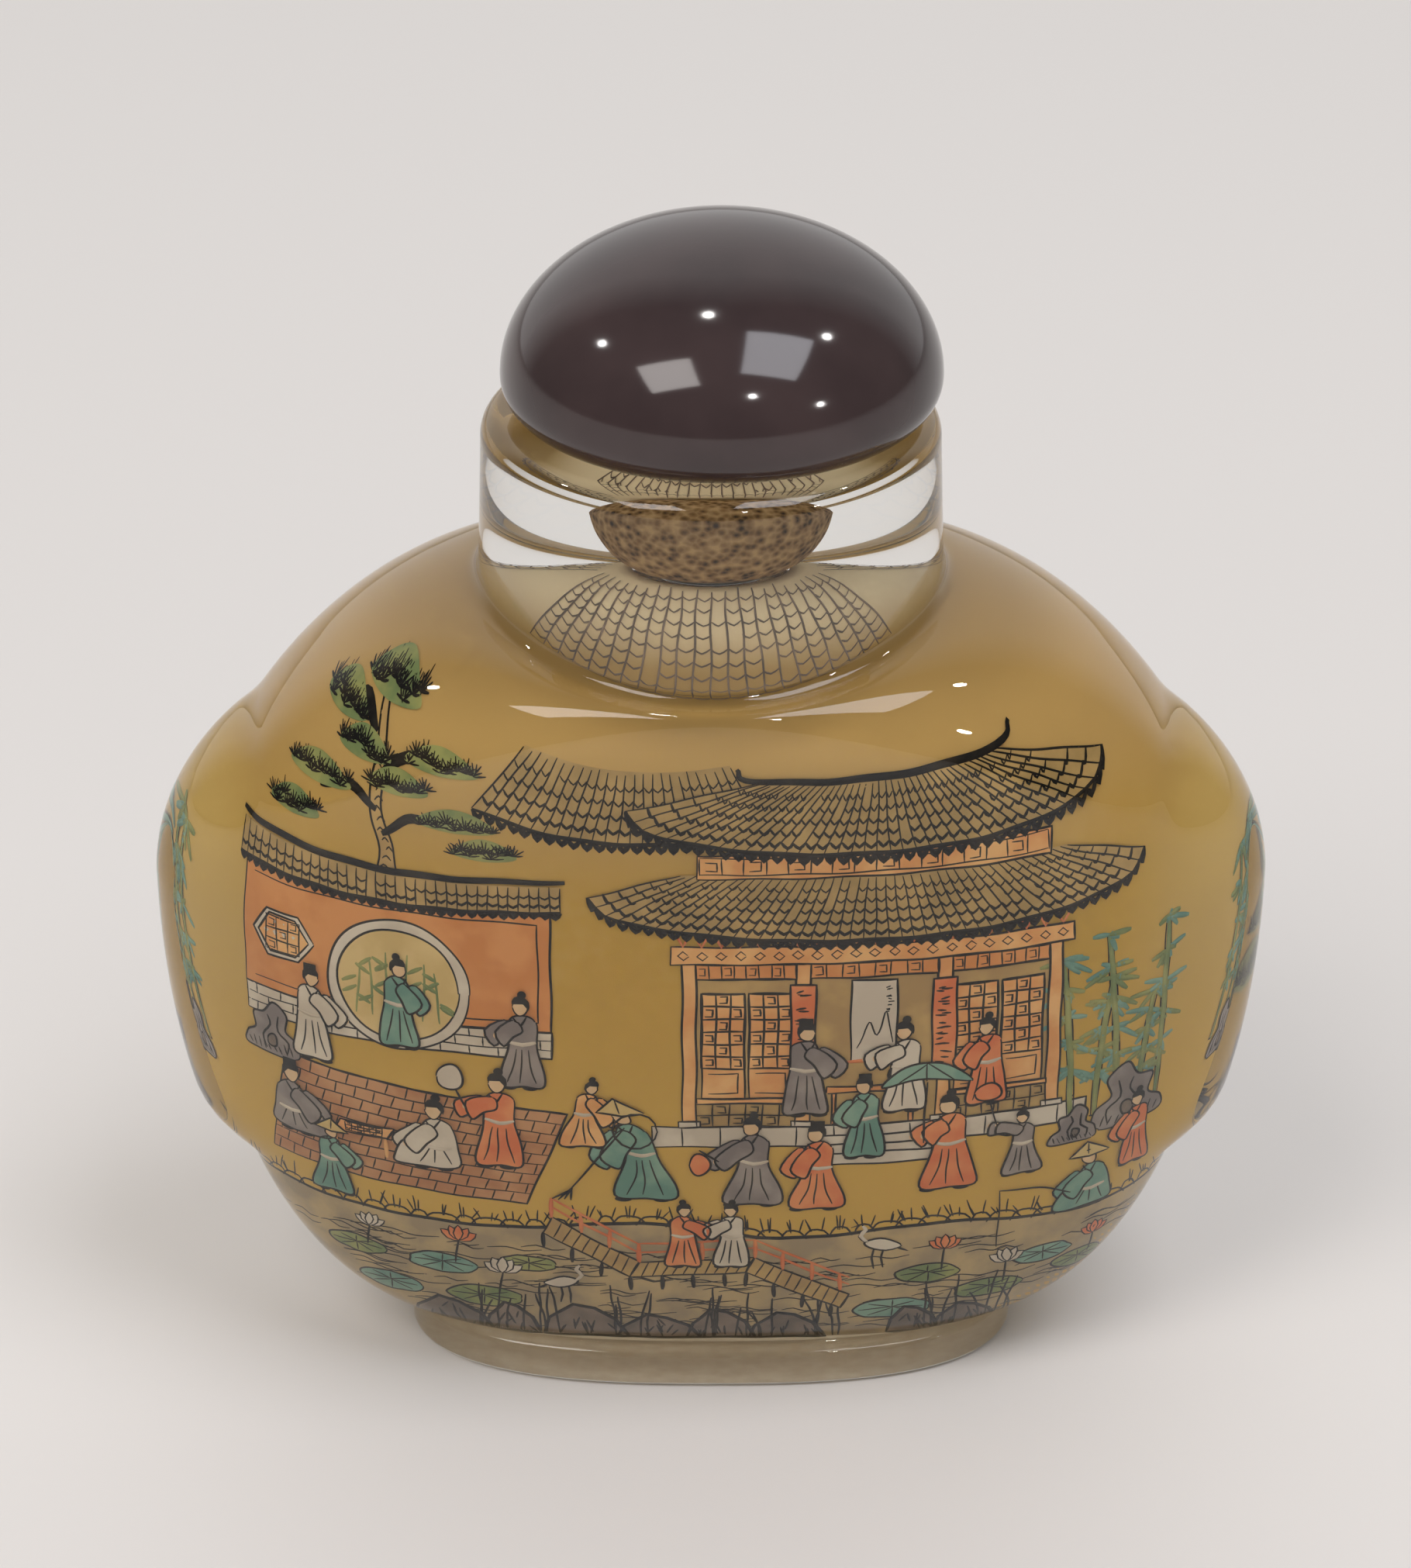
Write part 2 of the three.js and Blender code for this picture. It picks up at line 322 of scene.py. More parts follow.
def wall_sheet(facing, middle):
    """The hollow's wall over one face: its points, and where each of them is on the flat."""
    around = facing * math.pi / 2 + np.linspace(-WALL_REACH, WALL_REACH, WALL_COLUMNS + 1)
    wall = ring_points(bottle_inside(WALL_ROWS)[::-1], around)
    across = np.cumsum(np.linalg.norm(np.diff(wall, axis=1, prepend=wall[:, :1]), axis=-1), axis=1)
    across -= across[:, WALL_COLUMNS // 2, None]
    front = wall[:, WALL_COLUMNS // 2]
    up = np.cumsum(np.linalg.norm(np.diff(front, axis=0, prepend=front[:1]), axis=-1))[:, None]
    up = (up - up[WALL_ROWS]) * 1000 + WIDEST_UP
    flat = np.stack([across * 1000 + middle, up + 0 * across, 0 * across], axis=-1) / FLAT_SIDE
    return wall, flat


def painting_wall():
    """An open copy of the wall of both faces, each point with its place on the flat, to lay paint on."""
    points, flats, faces = [], [], []
    for facing, middle in ((-1, FRONT_MIDDLE), (1, BACK_MIDDLE)):
        wall, flat = wall_sheet(facing, middle)
        at = len(points) * wall[..., 0].size + np.arange(wall[..., 0].size).reshape(wall.shape[:2])
        faces.append(np.stack([at[:-1, :-1], at[:-1, 1:], at[1:, 1:], at[1:, :-1]], axis=-1).reshape(-1, 4))
        points.append(wall.reshape(-1, 3))
        flats.append(flat)
    mesh = bpy.data.meshes.new("painting_wall")
    mesh.from_pydata(np.vstack(points).tolist(), [], np.vstack(faces).tolist())
    mesh.shade_smooth()
    flat_place = mesh.attributes.new("flat_place", "FLOAT_VECTOR", "POINT")
    flat_place.data.foreach_set("vector", np.array(flats).ravel())
    made = bpy.data.objects.new("painting_wall", mesh)
    bpy.context.scene.collection.objects.link(made)
    return made


def in_small_steps(path, longest):
    """A path with points added, so that none is further than the longest step from the next."""
    path = np.array(path, float)
    made = [path[:1]]
    for start, end in zip(path[:-1], path[1:]):
        steps = max(1, math.ceil(np.linalg.norm(end - start) / longest))
        made.append(start + (end - start) * np.linspace(0.0, 1.0, steps + 1)[1:, None])
    return np.vstack(made)


def curved(points, closed=False):
    """A smooth path through points, in a few steps from each to the next."""
    points = np.array(points, float)
    before = points[-1:] if closed else 2 * points[:1] - points[1:2]
    after = points[:2] if closed else 2 * points[-1:] - points[-2:-1]
    knots = np.vstack([before, points, after])
    longest = np.linalg.norm(np.diff(knots[1:-1], axis=0), axis=1).max()
    steps = int(np.clip(math.ceil(longest / CURVE_STEP), *CURVE_STEPS))
    share = np.linspace(0.0, 1.0, steps, endpoint=False)[:, None]
    made = []
    for a, b, c, d in zip(knots[:-3], knots[1:-2], knots[2:-1], knots[3:]):
        bend = (2 * a - 5 * b + 4 * c - d) * share ** 2 + (3 * b - a - 3 * c + d) * share ** 3
        made.append(b + ((c - a) * share + bend) / 2)
    return np.vstack(made if closed else made + [points[-1:]])


def evenly(path, count):
    """A number of points, evenly spaced along a path."""
    path = np.array(path, float)
    along = np.cumsum(np.linalg.norm(np.diff(path, axis=0, prepend=path[:1]), axis=1))
    wanted = np.linspace(0.0, along[-1], count)
    return np.stack([np.interp(wanted, along, path[:, 0]), np.interp(wanted, along, path[:, 1])], axis=1)


def oval(x, y, wide, high=None, count=14):
    """An outline around a middle, with its half width and half height."""
    turn = np.linspace(0.0, 2 * math.pi, count, endpoint=False)
    return np.stack([x + wide * np.cos(turn), y + (high or wide) * np.sin(turn)], axis=1)


def box(left, bottom, right, top):
    return [(left, bottom), (right, bottom), (right, top), (left, top)]


class Pot:
    """A pot of paint, with the strokes and washes drawn with it on the flat, in millimetres."""

    def __init__(self):
        self.points, self.widths, self.edges, self.faces = [], [], [], []

    def add(self, points, widths, layer):
        first = len(self.points)
        self.points += [(x, y, layer * LAYER_STEP) for x, y in points]
        self.widths += list(widths)
        return first

    def stroke(self, path, width, layer):
        """A brush stroke along a path, a little unsteady, and thinner at both ends."""
        path = in_small_steps(path, STROKE_STEP)
        share = np.linspace(0.0, 1.0, len(path))
        swell = BRUSH_TIP + (1 - BRUSH_TIP) * np.sqrt(np.sin(math.pi * np.clip(share, 0.0, 0.999)))
        length = share[:, None] * len(path) * STROKE_STEP
        path = path + WAVER * np.sin(length * 2 * math.pi / WAVER_LENGTH + picks.uniform(0.0, 6.0, (1, 2)))
        first = self.add(path, width / 2 * swell, layer)
        self.edges += [(first + i, first + i + 1) for i in range(len(path) - 1)]

    def wash(self, outline, layer):
        """A thin layer of colour inside an outline."""
        rim = in_small_steps(np.vstack([outline, outline[:1]]), WASH_STEP)[:-1]
        low, high = rim.min(axis=0) + WASH_STEP / 2, rim.max(axis=0)
        inner = [(x, y) for x in np.arange(low[0], high[0], WASH_STEP)
                 for y in np.arange(low[1], high[1], WASH_STEP)]
        points = [mathutils.Vector(point) for point in [*map(tuple, rim), *inner]]
        outlines = [list(range(len(rim)))]
        found, _, faces, *_ = mathutils.geometry.delaunay_2d_cdt(points, [], outlines, 1, 1e-4)
        used = sorted({corner for face in faces for corner in face})
        first = self.add([found[corner] for corner in used], [0.0] * len(used), layer)
        seat = {corner: first + i for i, corner in enumerate(used)}
        self.faces += [[seat[corner] for corner in face] for face in faces]


class Hand:
    """The painter's hand over one motif: it places, sizes and mirrors it, with each wash over the last."""

    def __init__(self, across, up, size=1.0, facing=1, layer=0):
        self.middle = np.array([across, up], float)
        self.size = np.array([size * facing, size], float)
        self.layer = layer

    def spot(self, points):
        return np.array(points, float) * self.size + self.middle

    def pot(self, colour):
        """The pot of a colour. Each face has an ink of its own, so that neither piece of ink is too large."""
        on_back = self.middle[0] > FLAT_SIDE / 2
        return pots["back_ink" if on_back and colour == "ink" else colour]

    def line(self, points, width=LINE, colour="ink", smooth=False):
        path = self.spot(points)
        self.pot(colour).stroke(curved(path) if smooth else path, width, self.layer + 0.5)

    def fill(self, colour, outline, smooth=False, edge=LINE):
        self.layer += 1
        rim = self.spot(outline)
        rim = curved(rim, closed=True) if smooth else rim
        self.pot(colour).wash(rim, self.layer)
        if edge:
            self.pot("ink").stroke(np.vstack([rim, rim[:1]]), edge, self.layer + 0.5)


def marks(hand, left, bottom, width, height, rows):
    """A column of short brush marks that stand for writing and are no letters."""
    step = height / rows
    for row in range(rows):
        for _ in range(3):
            x = left + width * picks.uniform(0.12, 0.4)
            y = bottom + (row + picks.uniform(0.15, 0.85)) * step
            end = (x + width * picks.uniform(0.25, 0.5), y + step * picks.uniform(-0.15, 0.15))
            hand.line([(x, y), end])


def lattice(hand, left, bottom, right, top, across, up, width=FINE_LINE):
    """A panel of crossed bars, with a smaller square in every other opening."""
    for x in np.linspace(left, right, across + 1):
        hand.line([(x, bottom), (x, top)], width)
    for y in np.linspace(bottom, top, up + 1):
        hand.line([(left, y), (right, y)], width)
    wide, high = (right - left) / across, (top - bottom) / up
    for column in range(across):
        for row in range(column % 2, up, 2):
            x, y = left + wide * column, bottom + high * row
            hand.line(box(x + wide / 4, y + high / 4, x + wide * 3 / 4, y + high * 3 / 4), width)


def scales(hand, low, high, courses, heavy, colour="ink", fade=0.06):
    """Courses of scales from a low row of points to a high one, heavier below and fading above."""
    for bottom, top in zip(low, high):
        hand.line([bottom, bottom + (top - bottom) * (1 - fade * picks.random())], FINE_LINE, colour)
    sag = np.linalg.norm(high - low, axis=1).mean() / courses * np.array([0.0, 0.35])
    for course in range(courses):
        share = course / courses
        row = low + (high - low) * share
        width = FINE_LINE + (heavy - FINE_LINE) * (1 - share) ** 2
        for left, right in zip(row[:-1], row[1:]):
            if picks.random() > fade * 2 * share:
                hand.line([left, (left + right) / 2 - sag, right], width, colour, smooth=True)


def tiled_roof(hand, eave, ridge, columns, courses):
    """A roof of round tiles, from the curve of its eave to that of its ridge, dark along the eave."""
    low, high = evenly(curved(eave), columns + 1), evenly(curved(ridge), columns + 1)
    hand.fill("tile", np.vstack([low, high[::-1]]), edge=0)
    scales(hand, low, high, courses, BOLD_LINE)
    lip = np.linalg.norm(high - low, axis=1).mean() / courses * np.array([0.0, 0.56])
    for left, right in zip(low[:-1], low[1:]):
        hand.line([left, (left + right) / 2 - lip, right], BOLD_LINE, smooth=True)
    hand.line(low, BOLD_LINE)


def upturned(half_width, rise, level):
    """The curve of an eave that sags in the middle and turns up at both corners."""
    shares = np.array([-1.0, -0.9, -0.49, 0.0, 0.49, 0.9, 1.0])
    rises = np.array([1.0, 0.5, 0.11, 0.0, 0.11, 0.5, 1.0])
    return np.stack([half_width * shares, level + rise * rises], axis=1)


def pavilion(across, up, size, layer, columns=46):
    """An open garden pavilion with two roofs: a platform, four posts, screens, a beam, frets and tiles."""
    hand = Hand(across, up, size, layer=layer)
    post_places, post_half, beam = (-12.0, -4.6, 4.6, 12.0), 0.45, (12.8, 14.1)
    hand.fill("umber", box(-12, 0, 12, 13))
    for left, right in ((-11.2, -8.4), (-8.1, -5.3), (5.3, 8.1), (8.4, 11.2)):
        hand.fill("orange", box(left, 2.4, right, 10.6))
        lattice(hand, left, 4.8, right, 10.6, 3, 6, width=LINE)
        hand.line(box(left + 0.4, 2.8, right - 0.4, 4.4), FINE_LINE)
    hand.fill("chalk", box(-1.5, 5.2, 1.5, 11.4))
    hand.line([(-1.9, 5.2), (1.9, 5.2)], BOLD_LINE, "vermilion")
    hand.line([(-1.1, 6.2), (-0.3, 8.2), (0.2, 7.2), (0.8, 9.0), (1.2, 6.6)], FINE_LINE, smooth=True)
    marks(hand, 0.6, 8.8, 0.8, 2.2, 4)
    hand.fill("coral", box(-3.0, 2.7, 3.0, 3.2))
    for leg in (-2.7, 2.4):
        hand.fill("coral", box(leg, 0.1, leg + 0.3, 2.7))
    hand.fill("teal", [(1.3, 3.2), (1.0, 3.9), (1.3, 4.6), (1.9, 4.6), (2.2, 3.9), (1.9, 3.2)], smooth=True)
    for tip in ((1.0, 6.0), (1.7, 6.4), (2.4, 5.9)):
        hand.line([(1.6, 4.6), tip], LINE, "leaf")
    for post in post_places:
        hand.fill("orange", box(post - post_half, 0.3, post + post_half, beam[0]))
        hand.fill("chalk", box(post - 0.75, 0.0, post + 0.75, 0.45))
    for post in post_places[1:3]:
        hand.fill("vermilion", box(post - 0.8, 3.4, post + 0.8, 11.2))
        marks(hand, post - 0.8, 3.7, 1.6, 7.2, 8)
    for left, right in zip(post_places[:-1], post_places[1:]):
        hand.fill("coral", box(left + post_half, 11.7, right - post_half, beam[0]))
        lattice(hand, left + post_half, 11.7, right - post_half, beam[0], 8, 1)
        if left * right > 0:
            hand.fill("orange", box(left + post_half, 2.0, right - post_half, 2.4))
            lattice(hand, left + post_half, 0.1, right - post_half, 2.0, 6, 2)
    hand.fill("orange", box(-13.2, beam[0], 13.2, beam[1]))
    for x in np.arange(-12.4, 12.5, 1.24):
        hand.line(oval(x, 13.45, 0.35, 0.3, 4)[[0, 1, 2, 3, 0]], FINE_LINE)
        hand.line([(x - 0.5, 15.0), (x, beam[1]), (x + 0.5, 15.0)], LINE, "vermilion")
    tiled_roof(hand, upturned(18.5, 3.2, 14.4), [(-12.5, 19.4), (0, 19.1), (12.5, 19.4)], columns, 6)
    hand.fill("orange", box(-11.5, 19.1, 11.5, 20.8))
    lattice(hand, -11.3, 19.4, 11.3, 20.6, 16, 1)
    tiled_roof(hand, upturned(16.0, 3.2, 20.7), [(-7.5, 26.0), (0, 25.7), (7.5, 26.0)], columns - 6, 6)
    hand.line([(-9.0, 26.9), (-7.8, 26.1), (0, 25.8), (7.8, 26.1), (9.0, 26.9)], RIDGE_LINE, smooth=True)
    hand.layer = layer
    hand.fill("chalk", box(-14.5, -1.7, 14.5, 0))
    for x in np.arange(-12.5, 13, 2.5):
        hand.line([(x, -1.7), (x, -0.1)], FINE_LINE)
    for step in range(3):
        low = -1.9 - 0.75 * step
        hand.fill("chalk", box(-3.6 - 0.4 * step, low, 3.6 + 0.4 * step, low + 1.0))


def garden_wall(across, up, size, layer):
    """A coral red garden wall on a brick course, under tiles, with a round gate and a latticed window."""
    left, right, course, top = -9.6, 8.6, 1.8, 9.2
    hand = Hand(across, up, size, layer=layer)
    hand.fill("coral", box(left, course, right, top))
    hand.fill("chalk", box(left, 0, right, course))
    for row in range(3):
        low, high = course * row / 3, course * (row + 1) / 3
        hand.line([(left, high), (right, high)], FINE_LINE)
        for x in np.arange(left + 0.8 + 0.8 * (row % 2), right - 0.5, 1.6):
            hand.line([(x, low), (x, high)], FINE_LINE)
    hand.line(box(left + 0.7, course + 0.6, right - 0.7, top - 0.6), FINE_LINE)
    hand.fill("chalk", oval(0, 3.9, 4.1, count=28), smooth=True)
    hand.fill("ochre_light", oval(0, 3.9, 3.5, count=28), smooth=True)
    for stem in np.linspace(-2.4, 2.4, 6):
        lean = picks.uniform(-0.3, 0.3)
        hand.line([(stem, 1.8), (stem + lean, 6.2 - abs(stem) / 2)], LINE, "leaf")
        for _ in range(4):
            y = picks.uniform(2.8, 5.8)
            hand.line([(stem, y), (stem + picks.choice([-0.8, 0.8]), y - 0.5)], BOLD_LINE, "leaf")
    hand.fill("chalk", oval(-6.9, 5.5, 2.0, 1.6, 6))
    hand.fill("orange", oval(-6.9, 5.5, 1.65, 1.3, 6))
    lattice(hand, -8.0, 4.5, -5.8, 6.5, 3, 3)
    tiled_roof(hand, [(left - 0.6, top + 0.1), (0, top - 0.2), (right + 0.6, top + 0.2)],
               [(left - 0.6, top + 1.8), (0, top + 1.5), (right + 0.6, top + 1.8)], 34, 3)
    ridge = [(left - 0.9, top + 2.1), (0, top + 1.7), (right + 0.9, top + 2.1)]
    hand.line(ridge, RIDGE_LINE, smooth=True)


def pine(across, up, size, facing, layer):
    """An old pine: a leaning trunk with scaly bark, bent boughs, and flat pads of needles."""
    hand = Hand(across, up, size, facing, layer)
    hand.fill("umber", [(-1.1, 0), (-0.9, 4), (0.4, 8), (0.2, 12), (1.4, 15.5), (2.0, 15.2), (1.2, 12),
                        (1.6, 8), (0.5, 4), (0.9, 0)], smooth=True)
    for y in np.arange(0.6, 11.5, 0.85):
        x = np.interp(y, [0, 4, 8, 12], [0.0, -0.2, 0.9, 0.7]) + picks.uniform(-0.4, 0.1)
        hand.line([(x - 0.3, y), (x + 0.1, y + 0.35), (x + 0.45, y)], FINE_LINE, smooth=True)
    for bough in ([(0.2, 5.5), (-2.8, 7.4), (-6.5, 7.0)], [(0.8, 7.5), (3.8, 8.8), (7.0, 8.0)],
                  [(0.5, 10.5), (-2.4, 12.4), (-5.4, 12.0)], [(1.5, 13.0), (3.8, 14.2), (6.0, 13.6)]):
        hand.line(bough, 2 * BOLD_LINE, smooth=True)
    for x, y, reach in ((-9.4, 4.8, 3.0), (9.8, 5.2, 3.0), (-6.8, 7.2, 3.8), (7.4, 8.4, 3.8),
                        (-1.2, 9.6, 3.0), (-5.4, 12.0, 3.6), (2.6, 11.4, 3.0), (6.4, 13.2, 3.4),
                        (1.2, 15.2, 3.8)):
        pad = [(-1.0, 0.0), (-0.6, 1.2), (0.0, 1.7), (0.6, 1.2), (1.0, 0.0), (0.0, -0.5)]
        hand.fill("leaf", np.array(pad) * (reach, 1.0) + (x, y), smooth=True, edge=0)
        for root in np.linspace(-reach * 0.9, reach * 0.9, 9):
            foot = np.array([x + root, y + picks.uniform(-0.3, 0.6)])
            for turn in np.linspace(0.15, math.pi - 0.15, 8):
                way = np.array([math.cos(turn), math.sin(turn)])
                hand.line([foot, foot + picks.uniform(0.8, 1.25) * way], FINE_LINE)


def bamboo(across, up, size, layer, stems):
    """A stand of bamboo: jointed stems, and hanging sprays of pointed leaves."""
    hand = Hand(across, up, size, layer=layer)
    for stem in range(stems):
        x, lean, tall = stem * 1.5, picks.uniform(-1.0, 1.2), picks.uniform(8.0, 13.0)
        stalk = evenly(curved([(x, 0), (x + lean * 0.3, tall / 2), (x + lean, tall)]), 7)
        hand.line(stalk, 1.5 * BOLD_LINE, "leaf")
        for side in (-0.2, 0.2):
            hand.line(stalk + (side, 0), FINE_LINE)
        for joint in stalk:
            hand.line([joint - (0.25, 0), joint + (0.25, 0)], LINE)
        for joint in stalk[2:]:
            for _ in range(7):
                tip = joint + (picks.uniform(-1.9, 1.9), picks.uniform(-1.3, 0.4))
                hand.line([joint, tip], 1.3 * BOLD_LINE, picks.choice(["leaf", "teal"]))
                hand.line([joint, (joint + 2 * tip) / 3], LINE)


def rock(across, up, size, layer, facing=1):
    """A weathered garden rock with hollows."""
    hand = Hand(across, up, size, facing, layer)
    hand.fill("slate", [(-2, 0), (-2.3, 1.4), (-1.3, 2.2), (-1.5, 3.6), (-0.3, 4.4), (0.5, 3.4), (1.5, 3.0),
                        (1.3, 1.8), (2.3, 1.0), (2.1, 0)], smooth=True)
    hand.line([(-1.4, 0.3), (-1.5, 1.3), (-0.7, 2.0), (-0.8, 3.3)], LINE, smooth=True)
    hand.line([(0.3, 0.3), (0.6, 1.4), (0.0, 2.4), (0.2, 3.2)], LINE, smooth=True)
    hand.fill("stone", oval(-0.2, 1.1, 0.4, 0.55), smooth=True)
    for x in np.linspace(-1.9, 1.8, 9):
        hand.line([(x, 0.15), (x + 0.25, picks.uniform(0.5, 1.0))], FINE_LINE)


def brickwork(corners, rows, layer):
    """A paved patch of bricks between four corners, given from the left front one around."""
    hand = Hand(FRONT_MIDDLE, 0, layer=layer)
    left_front, right_front, right_back, left_back = np.array(corners, float)
    hand.fill("brick", corners)
    for row in range(rows):
        near, far = row / rows, (row + 1) / rows
        left = [left_front + (left_back - left_front) * share for share in (near, far)]
        right = [right_front + (right_back - right_front) * share for share in (near, far)]
        hand.line([left[1], right[1]], FINE_LINE)
        for share in np.arange(0.03 + 0.035 * (row % 2), 1.0, 0.07):
            hand.line([start + (end - start) * share for start, end in zip(left, right)], FINE_LINE)


def lotus(across, up, size, colour, flower=None):
    """A lotus leaf on the water, with a flower on a stalk above it where one is named."""
    hand = Hand(FRONT_MIDDLE + across, up, size, layer=POND_LAYER)
    rim = oval(0, 0, 1.0, 0.42, 16) * (1 + picks.uniform(-0.06, 0.06, (16, 1)))
    hand.fill(colour, rim, smooth=True)
    for tip in rim[::2]:
        hand.line([(0, 0.05), 0.85 * tip], FINE_LINE)
    if flower:
        hand.line([(0.4, 0.1), (0.5, 1.1)], LINE)
        for turn in (2.5, 0.6, 2.0, 1.1, 1.57):
            out = np.array([math.cos(turn), math.sin(turn)])
            side = np.array([-out[1], out[0]])
            root = np.array([0.5, 1.05])
            petal = [root, root + 0.3 * out + 0.16 * side, root + 0.62 * out, root + 0.3 * out - 0.16 * side]
            hand.fill(flower, petal, smooth=True, edge=FINE_LINE)


def crane(across, up, size, facing=1):
    """A white wading bird with black tail feathers."""
    hand = Hand(FRONT_MIDDLE + across, up, size, facing, WALK_LAYER)
    for leg in (-0.05, 0.1):
        hand.line([(leg, 0.0), (leg + 0.02, 0.24), (leg - 0.02, 0.48)])
    hand.fill("ink", [(-0.2, 0.55), (-0.46, 0.36), (-0.3, 0.42)], smooth=True, edge=0)
    hand.fill("chalk", [(-0.34, 0.5), (-0.1, 0.42), (0.16, 0.5), (0.24, 0.62), (0.0, 0.7), (-0.22, 0.62)],
              smooth=True)
    hand.line([(0.18, 0.6), (0.3, 0.76), (0.22, 0.9), (0.28, 1.0)], BOLD_LINE, "chalk", smooth=True)
    hand.line([(0.22, 0.62), (0.34, 0.76), (0.26, 0.9), (0.3, 1.02), (0.46, 0.97)], FINE_LINE, smooth=True)


def shore_rocks(places, layer):
    """Dark rocks along the water's near edge, rubbed with ink, with reeds between them."""
    for x in places:
        wide, high = picks.uniform(1.5, 2.5), picks.uniform(1.8, 3.6)
        hand = Hand(FRONT_MIDDLE + x, SHORE, layer=layer)
        outline = [(-1.0, 0.03), (-0.85, 0.5), (-0.3, 0.95), (0.2, 0.85), (0.7, 0.55), (1.0, 0.03)]
        hand.fill("stone", np.array(outline) * (wide, high), edge=BOLD_LINE)
        for crack in picks.uniform(-0.7, 0.7, 9):
            top = high * (0.85 - 0.8 * abs(crack)) * picks.uniform(0.5, 1.0)
            foot = (crack * wide + picks.uniform(-0.5, 0.5), max(0.1, top - picks.uniform(0.6, 1.4)))
            hand.line([(crack * wide, top), foot], LINE)
        for reed in picks.uniform(-1.2, 1.2, 5):
            tall, sway = picks.uniform(2.6, 5.2), picks.uniform(-0.8, 0.8)
            root = wide + reed
            hand.line([(root, 0.1), (root + sway / 4, tall / 2), (root + sway, tall)], LINE, smooth=True)


def figure(across, up, size, robe, facing=1, lean=0.0, stride=0.0, wrist=(0.24, 0.5), seated=False,
           wears="bun"):
    """A small robed person with a plain head: sleeves, robe, sash, folds, and hair or a hat."""
    hand = Hand(FRONT_MIDDLE + across, up, size, facing, FIGURE_LAYER)
    drop = 0.27 if seated else 0.0

    def leant(points):
        return [(x + lean * max(0.0, y - 0.35), y) for x, y in points]

    def sleeve(shift):
        shoulder = np.array([0.04 + shift, 0.68 - drop])
        end = np.array([wrist[0] + shift, wrist[1] - drop])
        side = np.array([shoulder[1] - end[1], end[0] - shoulder[0]]) / np.linalg.norm(end - shoulder)
        hand.fill("skin", leant(oval(*(end + 0.04 * (end - shoulder)), 0.035)), smooth=True, edge=0)
        hand.fill(robe, leant([shoulder + 0.06 * side, end + 0.05 * side, end - 0.10 * side - (0, 0.03),
                               (shoulder + end) / 2 - 0.09 * side, shoulder - 0.07 * side]), smooth=True)

    sleeve(0.09)
    for foot in (-0.09 - stride, 0.1 + stride):
        hand.fill("ink", oval(foot + 0.03, 0.0, 0.07, 0.03), smooth=True, edge=0)
    if seated:
        body = [(-0.12, 0.45), (-0.17, 0.22), (-0.18, 0.03), (0.1, 0.0), (0.34, 0.01), (0.35, 0.12),
                (0.27, 0.25), (0.14, 0.29), (0.11, 0.45), (0.0, 0.52)]
    else:
        body = [(-0.12, 0.72), (-0.13, 0.46), (-0.19 - stride, 0.04), (0.0, 0.01), (0.2 + stride, 0.04),
                (0.13, 0.46), (0.11, 0.72), (0.0, 0.79)]
    hand.fill(robe, leant(body), smooth=True)
    for fold in (-0.08, 0.02, 0.1):
        top, middle = (fold * 0.6, 0.42 - drop * 0.75), (fold * 0.9, 0.24 - drop / 3)
        hand.line(leant([top, middle, (fold * (1.4 + 3 * stride), 0.05)]), FINE_LINE, smooth=True)
    waist = [(-0.125, 0.5 - drop), (0.0, 0.47 - drop), (0.125, 0.5 - drop)]
    hand.line(leant(waist), BOLD_LINE, "chalk", smooth=True)
    hand.line(leant([(-0.04, 0.78 - drop), (0.03, 0.66 - drop), (0.09, 0.77 - drop)]), LINE)
    sleeve(0.0)
    x, y = 0.02, 0.87 - drop
    hand.fill("skin", leant(oval(x, y, 0.068, 0.085)), smooth=True, edge=FINE_LINE)
    if wears == "hat":
        brim = y + 0.03
        hand.fill("ochre_light", leant([(-0.17, brim), (x, brim + 0.15), (0.21, brim), (x, brim - 0.03)]))
        hand.line(leant([(x, brim + 0.14), (x, brim)]), FINE_LINE)
    else:
        hair = [(x + 0.07, y + 0.03), (x + 0.05, y + 0.1), (x - 0.02, y + 0.115), (x - 0.085, y + 0.06),
                (x - 0.08, y - 0.03), (x - 0.03, y + 0.035)]
        hand.fill("ink", leant(hair), smooth=True, edge=0)
        cap = box(x - 0.075, y + 0.07, x + 0.05, y + 0.15)
        top = oval(x - 0.02, y + 0.13, 0.04) if wears == "bun" else cap
        hand.fill("ink", leant(top), smooth=wears == "bun", edge=0)
    return hand


def pond(bank, middle, stones=46, ripples=170):
    """Still water below a bank: a wash, long ripples, and stones and grass along the edge."""
    hand = Hand(middle, 0, layer=0)
    edge = curved(bank)
    hand.fill("water", np.vstack([edge, [(bank[-1][0], SHORE + 6), (17, SHORE), (-17, SHORE),
                                         (bank[0][0], SHORE + 6)]]), edge=0)
    hand.line(edge, BOLD_LINE)
    for x, y in evenly(edge, stones):
        wide = picks.uniform(0.5, 1.1)
        stone = [(x - wide, y - 0.1), (x - wide / 2, y + 0.55), (x + wide / 2, y + 0.5), (x + wide, y - 0.1)]
        hand.line(stone, LINE, smooth=True)
        for blade in picks.uniform(-0.9, 0.9, 3):
            hand.line([(x + blade / 2, y + 0.4), (x + blade, y + picks.uniform(1.0, 1.7))], FINE_LINE)
    for _ in range(ripples):
        y, wide = picks.uniform(SHORE + 0.4, 7.4), picks.uniform(0.8, 2.2)
        x = picks.uniform(-1.0, 1.0) * (16 + 1.5 * (y - SHORE))
        ripple = [(x - wide, y), (x - wide / 3, y + 0.18), (x + wide / 3, y - 0.1), (x + wide, y + 0.05)]
        hand.line(ripple, FINE_LINE, smooth=True)


